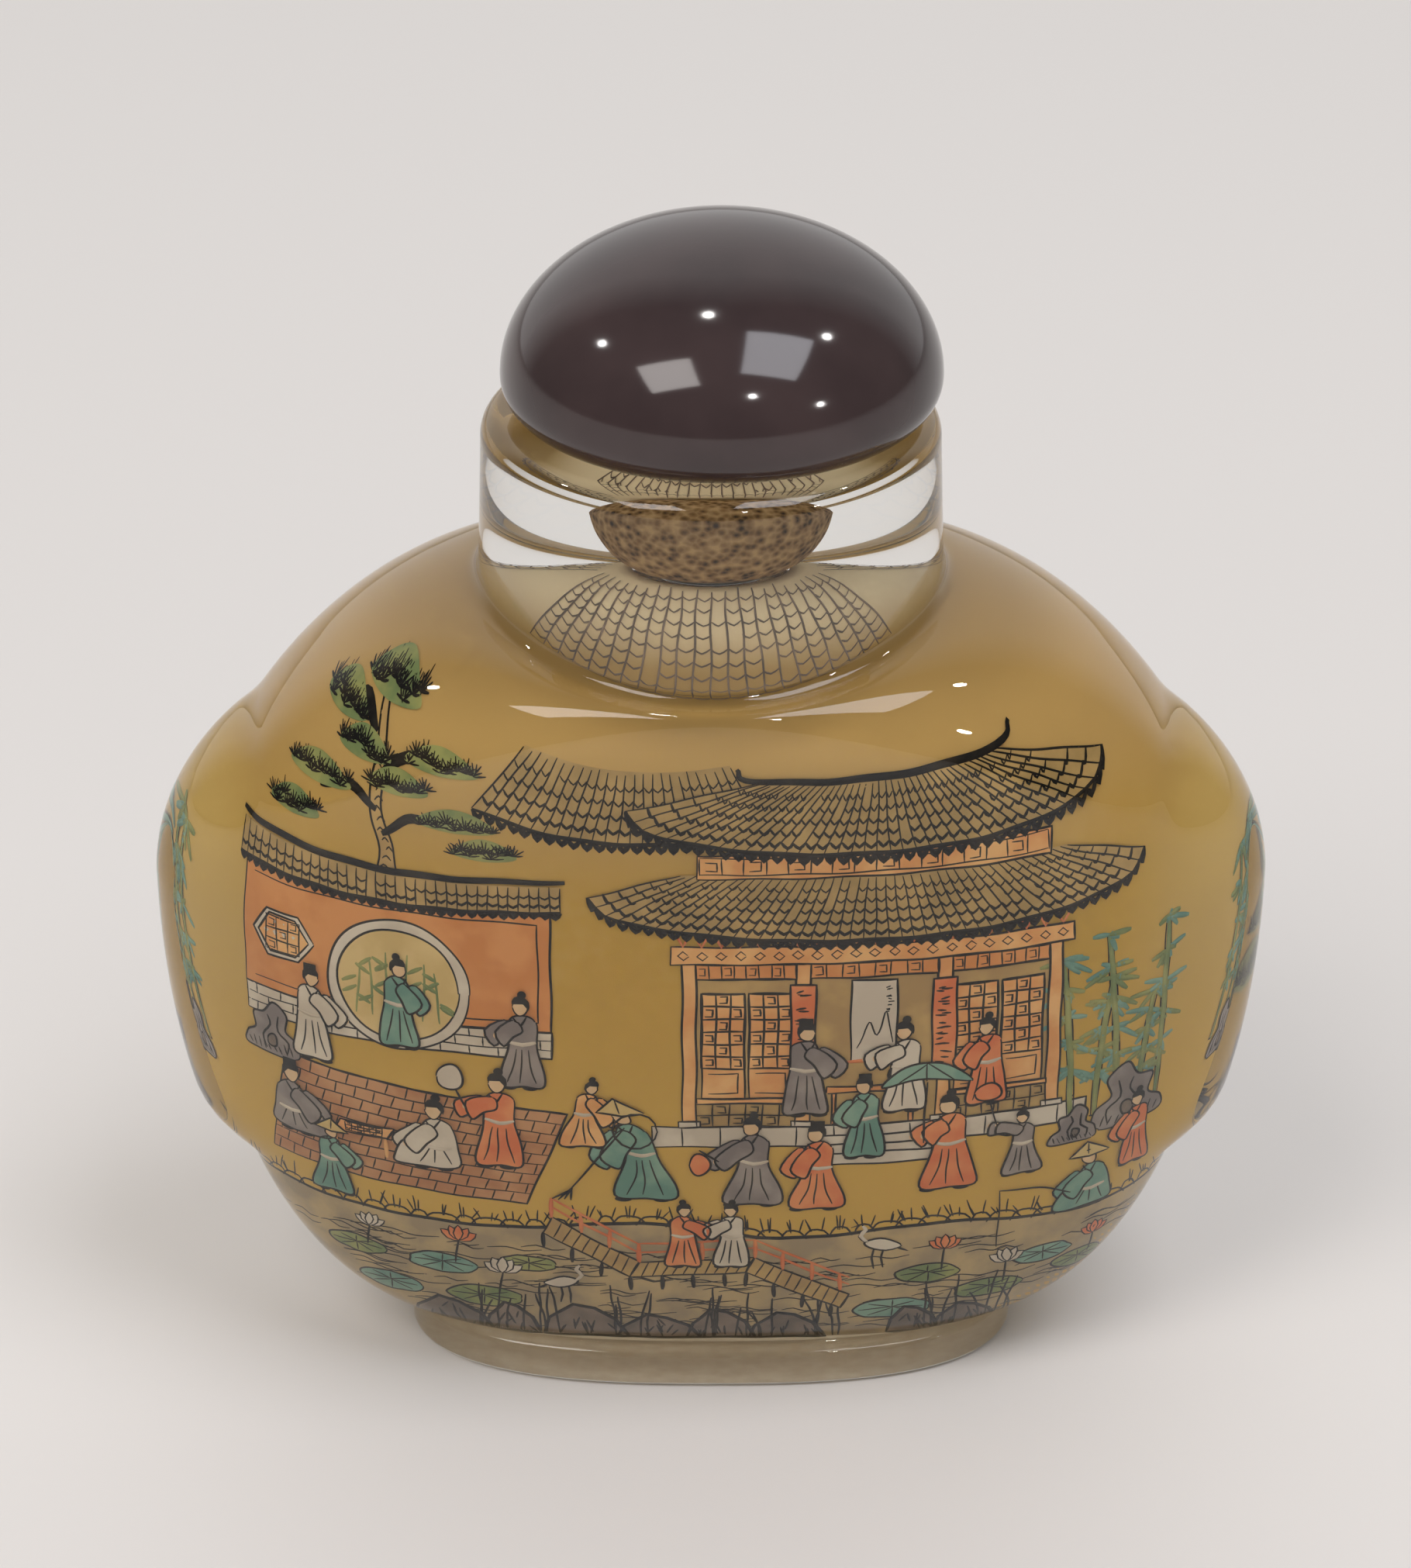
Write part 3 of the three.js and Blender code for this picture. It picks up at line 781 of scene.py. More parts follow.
def plank_walk(corners, layer):
    """A crooked plank walk over the water, on posts, with a red rail along its far side."""
    hand = Hand(FRONT_MIDDLE, 0, layer=layer)
    deep, tall = np.array([0.5, 1.25]), np.array([0.0, 1.5])
    for start, end in zip(np.array(corners[:-1]), np.array(corners[1:])):
        hand.fill("umber", [start, end, end + deep, start + deep])
        steps = evenly([start, end], max(3, int(np.linalg.norm(end - start) / 0.55)))
        for plank in steps:
            hand.line([plank, plank + deep], FINE_LINE)
        for post in steps[::3]:
            hand.line([post, post - 0.8 * tall], BOLD_LINE)
            hand.line([post + deep, post + deep + tall], BOLD_LINE, "vermilion")
        for rail in (0.55, 1.0):
            hand.line([start + deep + rail * tall, end + deep + rail * tall], LINE * 1.3, "vermilion")


def birds(middle, places):
    for x, y in places:
        bird = Hand(middle + x, y, layer=1)
        bird.line([(-0.8, 0.35), (-0.3, 0.3), (0, 0), (0.3, 0.3), (0.8, 0.35)], smooth=True)


PAINT_COLOURS = {
    "ink": ((0.010, 0.009, 0.008), (0.035, 0.028, 0.020)),
    "back_ink": ((0.010, 0.009, 0.008), (0.035, 0.028, 0.020)),
    "vermilion": ((0.76, 0.20, 0.07), (0.86, 0.32, 0.12)),
    "coral": ((0.70, 0.27, 0.075), (0.79, 0.34, 0.11)),
    "orange": ((0.80, 0.36, 0.12), (0.92, 0.52, 0.20)),
    "brick": ((0.50, 0.22, 0.09), (0.64, 0.33, 0.15)),
    "teal": ((0.15, 0.30, 0.23), (0.28, 0.44, 0.32)),
    "slate": ((0.24, 0.20, 0.18), (0.38, 0.32, 0.27)),
    "stone": ((0.16, 0.12, 0.09), (0.30, 0.22, 0.16)),
    "chalk": ((0.66, 0.56, 0.42), (0.78, 0.68, 0.52)),
    "leaf": ((0.20, 0.26, 0.10), (0.38, 0.38, 0.13)),
    "skin": ((0.76, 0.50, 0.26), (0.84, 0.60, 0.34)),
    "tile": ((0.42, 0.28, 0.105), (0.56, 0.37, 0.14)),
    "umber": ((0.46, 0.29, 0.11), (0.60, 0.39, 0.14)),
    "ochre_light": ((0.68, 0.48, 0.18), (0.78, 0.57, 0.24)),
    "water": ((0.40, 0.30, 0.17), (0.58, 0.42, 0.20)),
}
pots = {name: Pot() for name in PAINT_COLOURS}
# The water stops a little above the floor, so that the paler floor below it shows as a painted highlight line
# along the top of the foot.
SHORE = -0.7
GROUND_LAYER, POND_LAYER, COLLAR_LAYER, WALK_LAYER, FIGURE_LAYER = 2, 4, 8, 10, 34

# Courses of scales that rise into the neck, alike on both faces.
collar_low = evenly(curved([(-10.5, 45.0), (-5.5, 44.2), (0, 43.9), (5.5, 44.2), (10.5, 45.0)]), 23)
collar_high = evenly(curved([(-5.8, 52.1), (0, 53.2), (5.8, 52.1)]), 23)
for middle in (FRONT_MIDDLE, BACK_MIDDLE):
    collar = Hand(middle, 0, layer=COLLAR_LAYER)
    scales(collar, collar_low, collar_high, 10, LINE, "stone")
    collar.line(collar_low, LINE, "stone")

# The front: the pond with its lotus, walk and shore, then roofs, trees, walls and paving above it.
pond([(-30, 9.6), (-22, 9.0), (-12, 8.8), (-4, 9.6), (4, 8.4), (13, 9.0), (22, 8.2), (30, 9.4)],
     FRONT_MIDDLE)
for leaf in ((-20.6, 5.4, 1.8, "leaf", "chalk"), (-18.6, 2.6, 2.0, "teal"),
             (-15.4, 5.2, 2.0, "teal", "vermilion"), (-13.0, 2.6, 2.2, "leaf", "chalk"),
             (-10.4, 5.9, 1.6, "leaf"), (10.4, 1.8, 2.2, "teal"), (12.4, 4.8, 1.9, "leaf", "vermilion"),
             (16.0, 2.8, 2.0, "leaf", "chalk"), (19.2, 5.0, 1.8, "teal"),
             (21.6, 3.6, 1.8, "leaf", "vermilion")):
    lotus(*leaf)
plank_walk([(-9.5, 8.6), (-4.6, 5.2), (2.0, 5.6), (7.4, 2.2)], WALK_LAYER)
crane(9.6, 5.6, 3.6, -1)
crane(-8.4, 2.6, 3.4)
shore_rocks((-15.0, -11.4, -7.2, -3.0, 0.6, 4.4, 11.6, 14.8), WALK_LAYER)
tiled_roof(Hand(FRONT_MIDDLE, 0, layer=1), [(-13, 36.6), (-8, 35.4), (-2, 35.2), (3, 36.0)],
           [(-10, 40.2), (-6, 39.6), (-2, 39.6), (1, 40.0)], 24, 5)
pine(FRONT_MIDDLE - 18.0, 31.0, 0.6, -1, 2)
garden_wall(FRONT_MIDDLE - 17.4, 21.4, 1.0, 12)
pavilion(FRONT_MIDDLE + 9.0, 16.9, 0.85, 2)
bamboo(FRONT_MIDDLE + 20.4, 15.4, 0.95, 6, 5)
rock(FRONT_MIDDLE + 24.2, 14.2, 1.0, 14)
rock(FRONT_MIDDLE + 20.6, 13.8, 0.6, 16, -1)
brickwork([(-26.0, 11.6), (-10.4, 10.8), (-8.0, 17.6), (-24.4, 19.2)], 9, GROUND_LAYER)
rock(FRONT_MIDDLE - 25.4, 18.8, 0.8, 26, -1)

# The people on the front, with what they hold.
figure(-24.2, 13.6, 7.0, "slate", 1, wears="cap", seated=True)
figure(-15.4, 13.0, 7.0, "chalk", -1, seated=True)
table = Hand(FRONT_MIDDLE - 19.8, 13.2, layer=FIGURE_LAYER)
table.fill("orange", [(-1.7, 1.4), (1.5, 1.4), (1.9, 2.2), (-1.3, 2.2)])
lattice(table, -1.0, 1.5, 1.2, 2.1, 6, 3)
for leg in (-1.6, 1.4):
    table.line([(leg, 1.4), (leg, 0.0)], BOLD_LINE, "orange")
fan = figure(-11.8, 13.6, 6.8, "vermilion", -1, wrist=(0.26, 0.62))
fan.line([(0.28, 0.6), (0.36, 0.8)])
fan.fill("chalk", oval(0.40, 0.90, 0.11, 0.13), smooth=True)
figure(-17.4, 21.4, 5.8, "teal", 1, wrist=(0.2, 0.48))
figure(-22.6, 19.4, 6.2, "chalk", 1, wears="cap")
figure(-10.4, 19.4, 6.2, "slate", -1, wrist=(0.22, 0.56))
hoop = figure(-7.2, 15.4, 4.8, "orange", 1, lean=0.2, stride=0.08, wrist=(0.32, 0.4))
hoop.line(np.vstack([oval(0.62, 0.26, 0.26), oval(0.62, 0.26, 0.26)[:1]]), LINE)
broom = figure(-3.6, 11.6, 7.0, "teal", -1, lean=0.35, stride=0.06, wrist=(0.3, 0.42), wears="hat")
broom.line([(0.18, 0.75), (0.62, 0.08)], LINE)
for bristle in (-0.07, -0.02, 0.03, 0.08):
    broom.line([(0.6, 0.1), (0.68 + bristle, -0.03)], LINE)
figure(5.2, 17.8, 6.4, "slate", 1, wears="cap")
figure(10.8, 17.8, 6.2, "chalk", -1, wrist=(0.26, 0.6))
figure(8.6, 14.6, 5.8, "teal", -1, wrist=(0.18, 0.46), wears="cap")
figure(15.4, 17.8, 6.0, "vermilion", -1, wrist=(0.2, 0.5))
shade = figure(13.4, 11.8, 7.0, "vermilion", -1, stride=0.04, wrist=(0.2, 0.58))
shade.line([(0.22, 0.5), (0.2, 1.12)], LINE)
shade.fill("teal", [(-0.16, 1.1), (0.0, 1.26), (0.2, 1.32), (0.4, 1.26), (0.56, 1.1), (0.2, 1.16)],
           smooth=True)
for rib in (-0.02, 0.2, 0.42):
    shade.line([(0.2, 1.31), (rib, 1.13)], FINE_LINE)
child = figure(17.6, 12.2, 4.8, "slate", -1, stride=0.05, wrist=(0.3, 0.8))
child.line([(0.32, 0.8), (0.42, 1.2)], FINE_LINE)
child.fill("vermilion", oval(0.44, 1.32, 0.16, 0.13), smooth=True)
lantern = figure(2.4, 11.2, 6.6, "slate", -1, stride=0.06, wrist=(0.3, 0.5))
lantern.line([(0.3, 0.5), (0.46, 0.62)], LINE)
lantern.fill("vermilion", oval(0.46, 0.46, 0.09, 0.12), smooth=True)
figure(6.0, 10.8, 6.4, "vermilion", -1, stride=0.05, wrist=(0.2, 0.45), wears="cap")
for across, robe, facing in ((-1.6, "vermilion", 1), (1.2, "chalk", -1)):
    figure(across, 6.2, 5.2, robe, facing, wrist=(0.28, 0.55))
angler = figure(22.0, 8.4, 6.6, "teal", -1, lean=0.1, seated=True, wears="hat")
angler.line([(0.2, 0.22), (0.5, 0.36), (0.85, 0.4)], LINE, smooth=True)
angler.line([(0.85, 0.4), (0.86, -0.3)], FINE_LINE)
figure(-21.8, 9.6, 5.4, "teal", 1, stride=0.05, wears="hat")
figure(24.8, 10.8, 5.6, "vermilion", -1, wrist=(0.22, 0.45))

# The back, which is plainer: three hills, a pond, a pavilion and a few people.
HILL_FOOT = 18
HILLS = (
    ("slate", 5, [(-15, 21), (-12, 29), (-8, 34), (-4, 29), (0, 31), (5, 26), (9, 23)]),
    ("leaf", 4, [(-6, 22), (1, 27), (6, 32), (10, 28), (12, 29), (15, 21)]),
    ("umber", 5, [(-16, 18.5), (-11, 23), (-5, 22), (0, 24), (9, 21), (16, 18.5)]),
)
for colour, layer, hill in HILLS:
    ridge = Hand(BACK_MIDDLE, 0, layer=layer)
    outline = np.vstack([curved(hill), [(hill[-1][0], HILL_FOOT), (hill[0][0], HILL_FOOT)]])
    ridge.fill(colour, outline, edge=0)
    ridge.line(hill, BOLD_LINE, smooth=True)
    for x, y in evenly(curved(hill), 26)[1:-1]:
        bend, end = picks.uniform(-0.6, 0.2), picks.uniform(-0.4, 0.8)
        ridge.line([(x, y), (x + bend, y - 1.2), (x + end, y - 2.6)], FINE_LINE, smooth=True)
pond([(-30, 9.8), (-18, 11.0), (-6, 9.6), (6, 10.6), (18, 9.2), (30, 10.2)], BACK_MIDDLE)
pine(BACK_MIDDLE - 9.0, 11.5, 1.0, 1, 12)
pavilion(BACK_MIDDLE + 7.0, 14.2, 0.5, 12, 30)
rock(BACK_MIDDLE + 15.0, 10.6, 1.1, 14)
rock(BACK_MIDDLE - 14.6, 10.4, 0.9, 14, -1)
to_back = BACK_MIDDLE - FRONT_MIDDLE
walker = figure(to_back - 4.0, 12.0, 6.4, "vermilion", 1, stride=0.06, wrist=(0.26, 0.5), wears="hat")
walker.line([(0.3, 0.0), (0.26, 0.95)])
figure(to_back - 0.4, 11.8, 6.4, "chalk", 1, wears="cap")
figure(to_back + 11.4, 11.2, 6.0, "teal", -1)
birds(BACK_MIDDLE, ((-6, 37.4), (-3.4, 38.2), (-1.4, 37.2), (12, 36.0), (14, 36.9)))

# A stand of bamboo between rocks on each side, which shows through the lugs.
for side in (-1, 1):
    bamboo(BACK_MIDDLE + 31.0 * side - 2.6, 17.0, 1.1, 6, 4)
    rock(BACK_MIDDLE + 28.4 * side, 15.4, 1.1, 14, side)
    rock(BACK_MIDDLE + 31.6 * side, 15.6, 0.7, 16, -side)


def paint_tree():
    """Nodes that make loose edges into brush strokes and faces into thin washes, and lay both on the wall."""
    tree = bpy.data.node_groups.new("paint_laid_on_the_wall", "GeometryNodeTree")
    for name, kind in (("Geometry", "Geometry"), ("Wall", "Object"), ("Depth", "Float"),
                       ("Thickness", "Float"), ("Flatness", "Float"), ("Paint", "Material")):
        tree.interface.new_socket(name, in_out="INPUT", socket_type="NodeSocket" + kind)
    tree.interface.new_socket("Geometry", in_out="OUTPUT", socket_type="NodeSocketGeometry")
    given = tree.nodes.new("NodeGroupInput").outputs
    drawn, wall, depth, thickness, flatness, paint = [Wire(tree, socket) for socket in given[:6]]
    neighbours = add_node(tree, "GeometryNodeInputMeshEdgeNeighbors", {}, {}, "Face Count")
    loose = add_node(tree, "FunctionNodeCompare", {"data_type": "INT", "operation": "EQUAL"},
                     {"A": neighbours, "B": 0})
    path = add_node(tree, "GeometryNodeMeshToCurve", {}, {"Mesh": drawn, "Selection": loose})
    path = add_node(tree, "GeometryNodeSetCurveNormal", {"mode": "Z_UP"}, {"Curve": path})
    tip = add_node(tree, "GeometryNodeCurvePrimitiveQuadrilateral", {}, {"Width": 2.0, "Height": flatness})
    width = add_node(tree, "GeometryNodeInputNamedAttribute", {"data_type": "FLOAT"}, {"Name": "brush"})
    strokes = add_node(tree, "GeometryNodeCurveToMesh", {},
                       {"Curve": path, "Profile Curve": tip, "Scale": width, "Fill Caps": True})
    sheet = add_node(tree, "GeometryNodeDeleteGeometry", {"domain": "EDGE"},
                     {"Geometry": drawn, "Selection": loose})
    raised = add_node(tree, "GeometryNodeExtrudeMesh", {"mode": "FACES"},
                      {"Mesh": sheet, "Offset Scale": thickness, "Individual": False})
    under = add_node(tree, "GeometryNodeFlipFaces", {}, {"Mesh": sheet})
    both = add_node(tree, "GeometryNodeJoinGeometry", {}, {"Geometry": [raised, under]})
    washes = add_node(tree, "GeometryNodeMergeByDistance", {}, {"Geometry": both, "Distance": 1e-7})
    layers = add_node(tree, "GeometryNodeJoinGeometry", {}, {"Geometry": [strokes, washes]})
    wall_mesh = add_node(tree, "GeometryNodeObjectInfo", {}, {"Object": wall}, "Geometry")
    place = add_node(tree, "GeometryNodeInputPosition", {}, {})
    on_flat = add_node(tree, "ShaderNodeVectorMath", {"operation": "SCALE"},
                       {0: place, "Scale": 1000 / FLAT_SIDE})
    flat = add_node(tree, "GeometryNodeInputNamedAttribute", {"data_type": "FLOAT_VECTOR"},
                    {"Name": "flat_place"})
    normal = add_node(tree, "GeometryNodeInputNormal", {}, {})
    wall_place, wall_normal = [
        add_node(tree, "GeometryNodeSampleUVSurface", {"data_type": "FLOAT_VECTOR"},
                 {"Mesh": wall_mesh, "Value": value, "UV Map": flat, "Sample UV": on_flat})
        for value in (place, normal)]
    height = add_node(tree, "ShaderNodeSeparateXYZ", {}, {0: place}, "Z") + depth
    outwards = add_node(tree, "ShaderNodeVectorMath", {"operation": "SCALE"},
                        {0: wall_normal, "Scale": height})
    laid = add_node(tree, "ShaderNodeVectorMath", {"operation": "ADD"}, {0: wall_place, 1: outwards})
    painted = add_node(tree, "GeometryNodeSetPosition", {}, {"Geometry": layers, "Position": laid})
    real = add_node(tree, "GeometryNodeRealizeInstances", {}, {"Geometry": painted})
    finished = add_node(tree, "GeometryNodeSetMaterial", {}, {"Geometry": real, "Material": paint})
    add_node(tree, "NodeGroupOutput", {}, {"Geometry": finished})
    return tree


def show_paint(tree, colour):
    """Shows a colour as matt paint, with no gloss of its own because the glass wets it."""
    show(tree, principled(tree, {"Base Color": colour, "Roughness": 0.75, "Specular IOR Level": 0.0}))


def thin_paint(name, thick, thin):
    """A finish of paint under glass, between the colour where it lies thick and where it lies thin."""
    finish, tree = new_finish(name)
    place = add_node(tree, "ShaderNodeTexCoord", {}, {}, "Object")
    show_paint(tree, ramp(tree, noise(tree, place, 380.0, 4.0), [(0.40, thick), (0.60, thin)]))
    return finish


def lay_paint(name, pot, wall, finish):
    """Lays a pot's strokes and washes on the wall, just inside the glass, as one plain mesh piece."""
    drawn = bpy.data.meshes.new(name + "_drawn")
    drawn.from_pydata((np.array(pot.points) / 1000).tolist(), pot.edges, pot.faces)
    brush = drawn.attributes.new("brush", "FLOAT", "POINT")
    brush.data.foreach_set("value", np.array(pot.widths) / 1000)
    piece = bpy.data.objects.new(name, drawn)
    bpy.context.scene.collection.objects.link(piece)
    layer = piece.modifiers.new("laid", "NODES")
    layer.node_group = laid_paint
    values = {"Wall": wall, "Depth": FIRST_LAYER_DEPTH, "Thickness": LAYER_THICKNESS,
              "Flatness": BRUSH_FLATNESS, "Paint": finish}
    for socket in laid_paint.interface.items_tree:
        if socket.name in values:
            layer[socket.identifier] = values[socket.name]
    piece_now = piece.evaluated_get(bpy.context.evaluated_depsgraph_get())
    mesh = bpy.data.meshes.new_from_object(piece_now)
    piece.modifiers.clear()
    piece.data = mesh
    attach(piece, "root")


laid_paint = paint_tree()
painted_wall = painting_wall()
for name, (thick, thin) in PAINT_COLOURS.items():
    lay_paint(name + "_paint", pots[name], painted_wall, thin_paint(name + "_paint", thick, thin))
bpy.data.objects.remove(painted_wall)

# The ochre ground of the painting
# A thin coat of yellow ochre that covers the hollow's wall from its floor up into the neck. It is brushed on
# from the inside over the finished picture, so the glass wets it and it shows in full colour from outside.
COAT_DEPTH, COAT_THICKNESS, COAT_STEPS = 0.00002, 0.00004, 60
OCHRE, PALE_OCHRE, DEEP_OCHRE = (0.600, 0.361, 0.059), (0.68, 0.445, 0.13), (0.50, 0.305, 0.048)
# Each tint has the way it changes along, its colour, and where it starts and where it is full, in metres.
TINTS = {
    "pale_sides": ("across", (0.68, 0.455, 0.14), 0.0215, 0.0275),
    # Paler low on the body: painted light that lifts the lower body, where less light falls.
    "light_below": ("up", (0.70, 0.430, 0.082), 0.0320, 0.0160),
    "brown_above": ("up", (0.60, 0.380, 0.125), 0.0330, 0.0410),
    # Darker at the top of the shoulder around the neck: painted shade.
    "smoky_shoulder": ("up", (0.485, 0.305, 0.10), 0.0425, 0.0455),
    "buff_ceiling": ("up", (0.92, 0.75, 0.46), 0.0463, 0.0494),
    # Paler along the floor: painted light that brightens the foot seen through the glass, and a painted pale
    # highlight line along the top of the foot.
    "pale_floor": ("up", (0.95, 0.85, 0.66), 0.0044, 0.0036),
}


def set_out(rings, distance):
    """Rings moved outwards by a distance, square to their skin."""
    along = np.gradient(rings, axis=0)
    around = np.roll(rings, -1, axis=1) - np.roll(rings, 1, axis=1)
    normal = np.cross(around, along)
    normal /= np.linalg.norm(normal, axis=-1, keepdims=True)
    return rings + distance * normal


ochre_paint, tree = new_finish("ochre_paint")
place = add_node(tree, "ShaderNodeTexCoord", {}, {}, "Object")
across = add_node(tree, "ShaderNodeSeparateXYZ", {}, {0: place}, "X")
ways = {"up": add_node(tree, "ShaderNodeSeparateXYZ", {}, {0: place}, "Z"),
        "across": add_node(tree, "ShaderNodeMath", {"operation": "ABSOLUTE"}, {0: across})}
cloud, grain = noise(tree, place, 60.0, 4.0), noise(tree, place, 1100.0, 3.0)
ground = ramp(tree, 0.75 * cloud + 0.25 * grain, [(0.25, DEEP_OCHRE), (0.5, OCHRE), (0.8, PALE_OCHRE)])
for name, (way, tint, start, full) in TINTS.items():
    share = add_node(tree, "ShaderNodeMapRange", {"interpolation_type": "SMOOTHSTEP"},
                     {"Value": ways[way], "From Min": start, "From Max": full})
    ground = add_node(tree, "ShaderNodeMix", {"data_type": "RGBA", "label": name},
                      {0: share, 6: ground, 7: (*tint, 1.0)}, 2)
show_paint(tree, ground)

wall_rings = ring_points(bottle_inside(COAT_STEPS)[1:][::-1], turns)
coat_rings = np.vstack([set_out(wall_rings, COAT_DEPTH),
                        set_out(wall_rings, COAT_DEPTH - COAT_THICKNESS)[::-1]])
ochre_ground = closed_skin("ochre_ground", coat_rings)
ochre_ground.data.materials.append(ochre_paint)
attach(ochre_ground, "root")

# The cork
# A tapered plug of natural cork under the stopper, squeezed into the bore so that it lies against the glass.
# Its pores and crumbs show brown and speckled through the neck.
CORK_BARK, CORK_CRUMB, CORK_PALE = (0.036, 0.022, 0.010), (0.25, 0.145, 0.058), (0.50, 0.33, 0.15)
CORK_PRESS, CORK_EDGE = 0.00002, 0.0005
CORK_BOWL_STEPS, CORK_STRAIGHT_STEPS, ROUND_SIDES = 16, 8, 160
cork_finish, tree = new_finish("speckled_cork")
place = add_node(tree, "ShaderNodeTexCoord", {}, {}, "Object")
crumb = add_node(tree, "ShaderNodeTexVoronoi", {}, {"Vector": place, "Scale": 2600.0}, "Distance")
pore = noise(tree, place, 1800.0, 4.0)
cork_colour = ramp(tree, 0.5 * crumb + 0.6 * pore, [(0.3, CORK_BARK), (0.5, CORK_CRUMB), (0.75, CORK_PALE)])
show(tree, principled(tree, {"Base Color": cork_colour, "Roughness": 0.9, "Specular IOR Level": 0.1}))
cork_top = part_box("cork")[1][2]
cork_sections = []
for turn in quarter_turns(CORK_BOWL_STEPS)[:-1]:
    radius = BORE_END_RADIUS + (BORE_RADIUS - BORE_END_RADIUS) * math.sin(turn) + CORK_PRESS
    cork_sections.append(disc(BORE_STRAIGHT_TO - (BORE_STRAIGHT_TO - BORE_BOTTOM) * math.cos(turn), radius))
for z in np.linspace(BORE_STRAIGHT_TO, cork_top - CORK_EDGE, CORK_STRAIGHT_STEPS):
    cork_sections.append(disc(z, BORE_RADIUS + CORK_PRESS))
cork_sections.append(disc(cork_top, BORE_RADIUS - CORK_EDGE))
even_turns = np.linspace(0.0, 2 * math.pi, ROUND_SIDES, endpoint=False)
cork_plug = closed_skin("cork_plug", ring_points(cork_sections, even_turns))
cork_plug.data.materials.append(cork_finish)
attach(cork_plug, "root")
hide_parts("cork")

# The stopper
# A domed cabochon of dark aubergine brown stone, polished all over. It rests on the rim, a little off the
# bottle's middle.
STOPPER_EDGE_WIDTH, STOPPER_EDGE_HEIGHT = 0.0024, 0.0022
STOPPER_EDGE_STEPS, STOPPER_DOME_STEPS = 14, 48
AUBERGINE, DEEP_AUBERGINE = (0.055, 0.036, 0.036), (0.034, 0.022, 0.023)
stopper_finish, tree = new_finish("polished_aubergine")
place = add_node(tree, "ShaderNodeTexCoord", {}, {}, "Object")
stone = ramp(tree, noise(tree, place, 120.0, 4.0), [(0.35, DEEP_AUBERGINE), (0.7, AUBERGINE)])
show(tree, principled(tree, {"Base Color": stone, "Roughness": 0.09, "IOR": 1.52}))
stopper_low, stopper_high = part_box("stopper")
stopper_radius = (stopper_high[0] - stopper_low[0]) / 2
stopper_middle = (stopper_high[0] + stopper_low[0]) / 2
girdle = stopper_low[2] + STOPPER_EDGE_HEIGHT
dome_height = stopper_high[2] - girdle
stopper_sections = []
for turn in quarter_turns(STOPPER_EDGE_STEPS):
    radius = stopper_radius - STOPPER_EDGE_WIDTH * (1 - math.sin(turn))
    stopper_sections.append(disc(girdle - STOPPER_EDGE_HEIGHT * math.cos(turn), radius))
for turn in quarter_turns(STOPPER_DOME_STEPS)[1:-1]:
    stopper_sections.append(disc(girdle + dome_height * math.sin(turn), stopper_radius * math.cos(turn)))
stopper_rings = ring_points(stopper_sections, even_turns) + np.array([stopper_middle, 0.0, 0.0])
stopper_dome = closed_skin("stopper_dome", stopper_rings)
stopper_dome.data.materials.append(stopper_finish)
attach(stopper_dome, "root")
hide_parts("stopper")

# The table, the light and the camera
# A plain pale table in a room that is pale behind and dim in front, under a pale ceiling, two soft window
# panels and a few small lamps, seen from a little above.
TABLE_REACH, TABLE_DROP, TABLE_COLOUR = 6.0, 0.00008, (0.76, 0.735, 0.71)
table_mesh = bpy.data.meshes.new("table")
table_outline = box(-TABLE_REACH, -TABLE_REACH, TABLE_REACH, TABLE_REACH)
table_mesh.from_pydata([(x, y, -TABLE_DROP) for x, y in table_outline], [], [(0, 1, 2, 3)])
table_top = bpy.data.objects.new("table", table_mesh)
bpy.context.scene.collection.objects.link(table_top)
table_finish, tree = new_finish("pale_table")
show(tree, principled(tree, {"Base Color": (*TABLE_COLOUR, 1.0), "Roughness": 0.55}))
table_mesh.materials.append(table_finish)

ROOM_FRONT, ROOM_BEHIND, ROOM_SIDES_DIM = (0.13, 0.125, 0.12), (0.82, 0.81, 0.80), 0.12
FRONT_TO, BEHIND_FROM = 0.60, 0.76
world = bpy.data.worlds.new("pale_room")
bpy.context.scene.world = world
world.use_nodes = True
tree = world.node_tree
tree.nodes.clear()
towards = add_node(tree, "ShaderNodeTexCoord", {}, {}, "Generated")
sideways = add_node(tree, "ShaderNodeSeparateXYZ", {}, {0: towards}, "X")
sideways = add_node(tree, "ShaderNodeMath", {"operation": "ABSOLUTE"}, {0: sideways})
backwards = add_node(tree, "ShaderNodeSeparateXYZ", {}, {0: towards}, "Y")
room = ramp(tree, 0.5 * backwards + 0.5 - ROOM_SIDES_DIM * sideways, [
    (0.0, ROOM_FRONT), (FRONT_TO, ROOM_FRONT), (BEHIND_FROM, ROOM_BEHIND), (1.0, ROOM_BEHIND)])
glow = add_node(tree, "ShaderNodeBackground", {}, {"Color": room, "Strength": 1.0})
add_node(tree, "ShaderNodeOutputWorld", {}, {"Surface": glow})

PANEL_DISTANCE = 1.6
LAMP_DISTANCE, LAMP_SIZE, LAMP_RADIANCE, LAMP_COLOUR = 0.8, 0.04, 90.0, (1.0, 0.98, 0.95)
LAMP_PLACES = ((-96, 45), (-148, 82), (97, 52), (18, 38), (53, 20))
AIM = np.array([0.0, 0.0, 0.045])


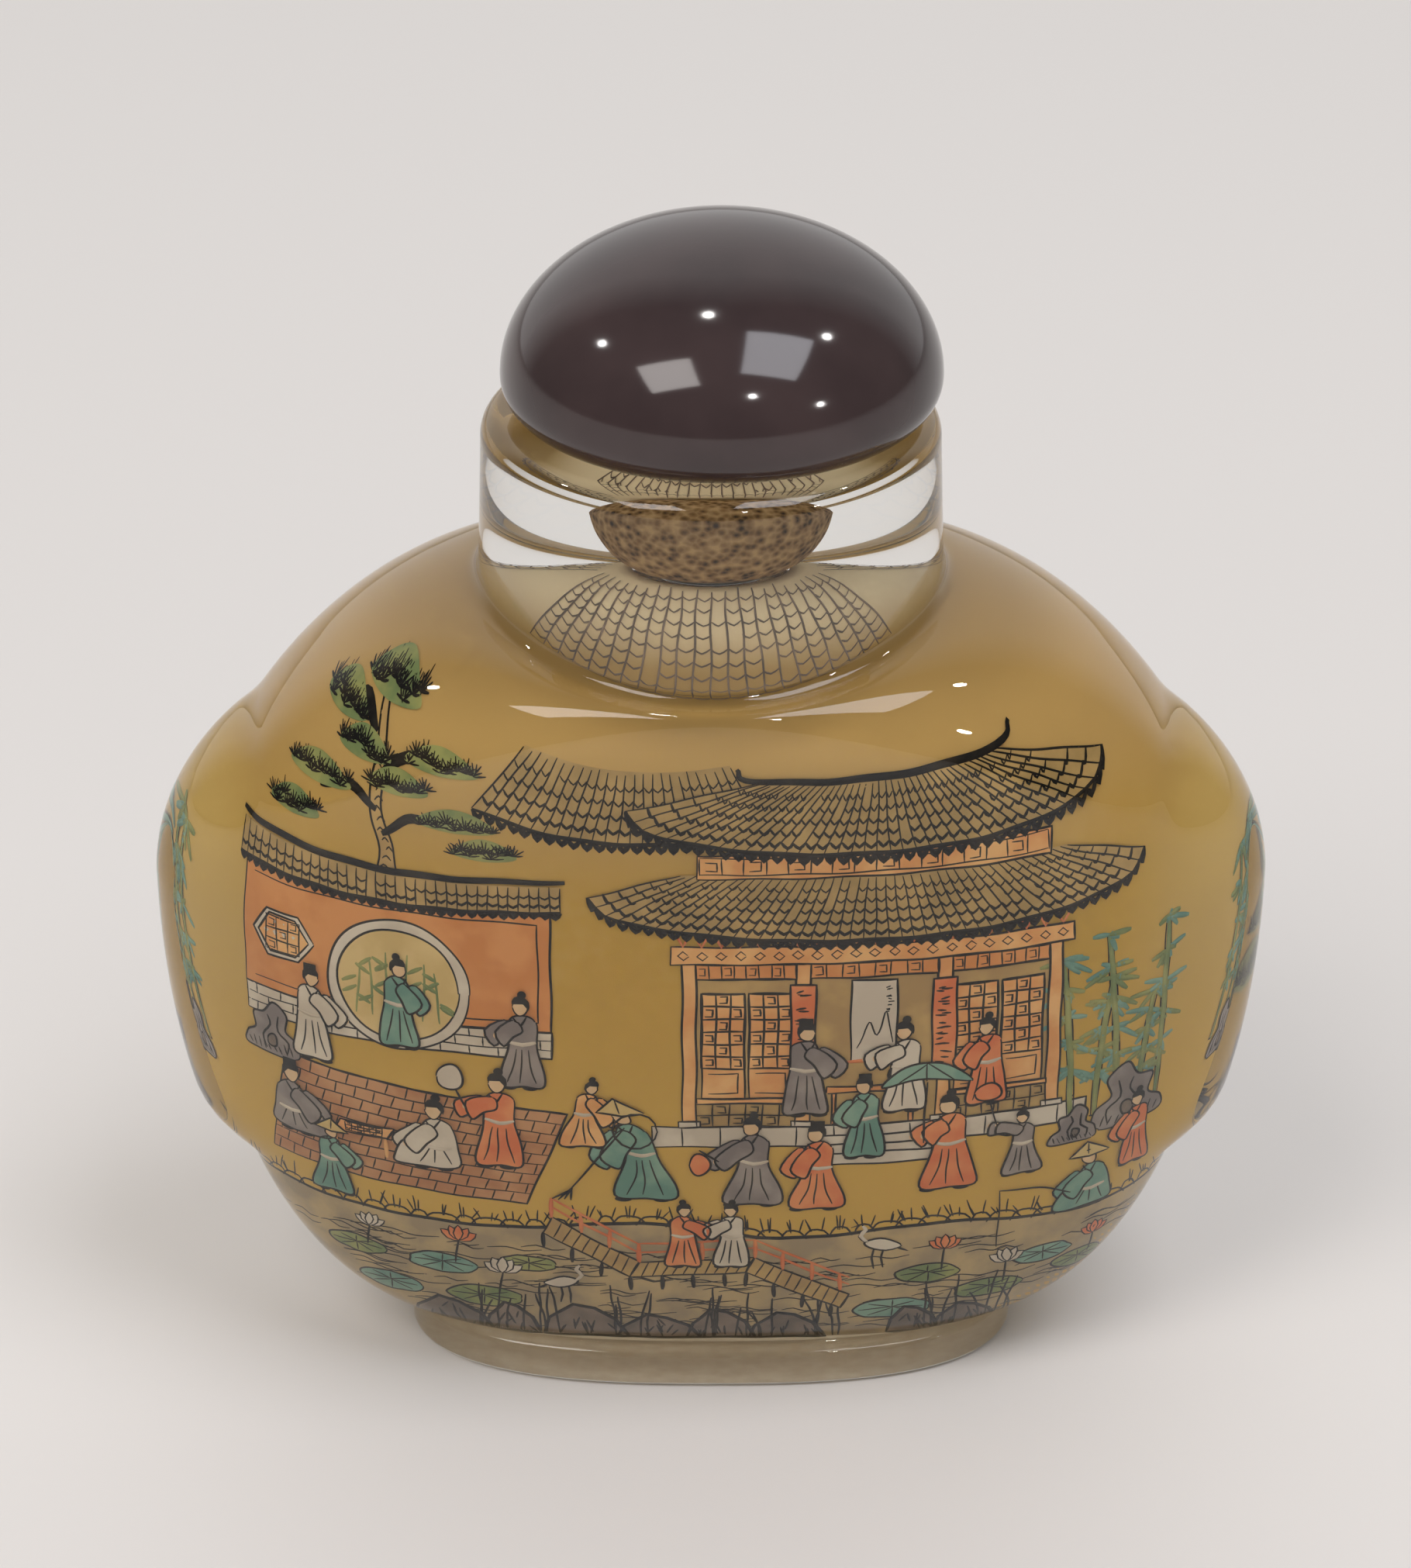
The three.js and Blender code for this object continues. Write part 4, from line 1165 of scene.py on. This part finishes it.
def hang_light(name, azimuth, elevation, distance, width, height, radiance, colour,
               shows="everywhere", roll=0):
    """A soft light turned towards the bottle, that shows everywhere, as a reflection only, or in none."""
    light = bpy.data.lights.new(name, "AREA")
    light.shape = "DISK" if shows == "as a reflection" else "RECTANGLE"
    light.size = width
    light.size_y = height
    light.energy = radiance * math.pi * width * height
    light.color = colour
    azimuth, elevation = math.radians(azimuth), math.radians(elevation)
    way = np.array([math.sin(azimuth) * math.cos(elevation), -math.cos(azimuth) * math.cos(elevation),
                    math.sin(elevation)])
    hung = bpy.data.objects.new(name, light)
    hung.location = AIM + distance * way
    turned = mathutils.Quaternion((0.0, 0.0, 1.0), math.radians(roll))
    hung.rotation_euler = (mathutils.Vector(way).to_track_quat("Z", "Y") @ turned).to_euler()
    hung.visible_diffuse = shows != "as a reflection"
    hung.visible_transmission = shows != "as a reflection"
    hung.visible_glossy = shows != "in no reflection"
    bpy.context.scene.collection.objects.link(hung)


hang_light("left_panel", -38, 50, PANEL_DISTANCE, 0.68, 0.60, 6.4, (1.0, 0.95, 0.92), roll=40)
hang_light("right_panel", 52, 62, PANEL_DISTANCE, 0.86, 0.74, 5.2, (0.93, 0.94, 1.0), roll=40)
hang_light("left_wall", -75, 24, PANEL_DISTANCE, 1.2, 1.0, 0.95, (1.0, 0.97, 0.94), "in no reflection")
hang_light("ceiling", 0, 90, PANEL_DISTANCE, 1.6, 1.6, 0.48, (1.0, 0.99, 0.98), "in no reflection")
hang_light("front_wall", 0, 16, PANEL_DISTANCE, 2.4, 1.0, 0.9, (1.0, 0.98, 0.95), "in no reflection")
for number, (azimuth, elevation) in enumerate(LAMP_PLACES):
    hang_light(f"lamp_{number}", azimuth, elevation, LAMP_DISTANCE, LAMP_SIZE, LAMP_SIZE, LAMP_RADIANCE,
               LAMP_COLOUR, "as a reflection")

CAMERA_DISTANCE, CAMERA_ELEVATION, AIM_HEIGHT = 0.300, math.radians(27.28), 0.03493
FOCAL_PIXELS, PHOTO_HEIGHT, BOTTLE_RIGHT_PIXELS = 6769.7, 2022.0, 7.0
camera = bpy.data.cameras.new("camera")
camera.sensor_width = 36.0
camera.lens = FOCAL_PIXELS / PHOTO_HEIGHT * camera.sensor_width
camera.shift_x = -BOTTLE_RIGHT_PIXELS / PHOTO_HEIGHT
camera.clip_start = 0.01
camera_place = bpy.data.objects.new("camera", camera)
camera_place.location = (0.0, -CAMERA_DISTANCE * math.cos(CAMERA_ELEVATION),
                         AIM_HEIGHT + CAMERA_DISTANCE * math.sin(CAMERA_ELEVATION))
camera_place.rotation_euler = (math.pi / 2 - CAMERA_ELEVATION, 0.0, 0.0)
bpy.context.scene.collection.objects.link(camera_place)
bpy.context.scene.camera = camera_place
bpy.context.scene.view_settings.view_transform = "Standard"
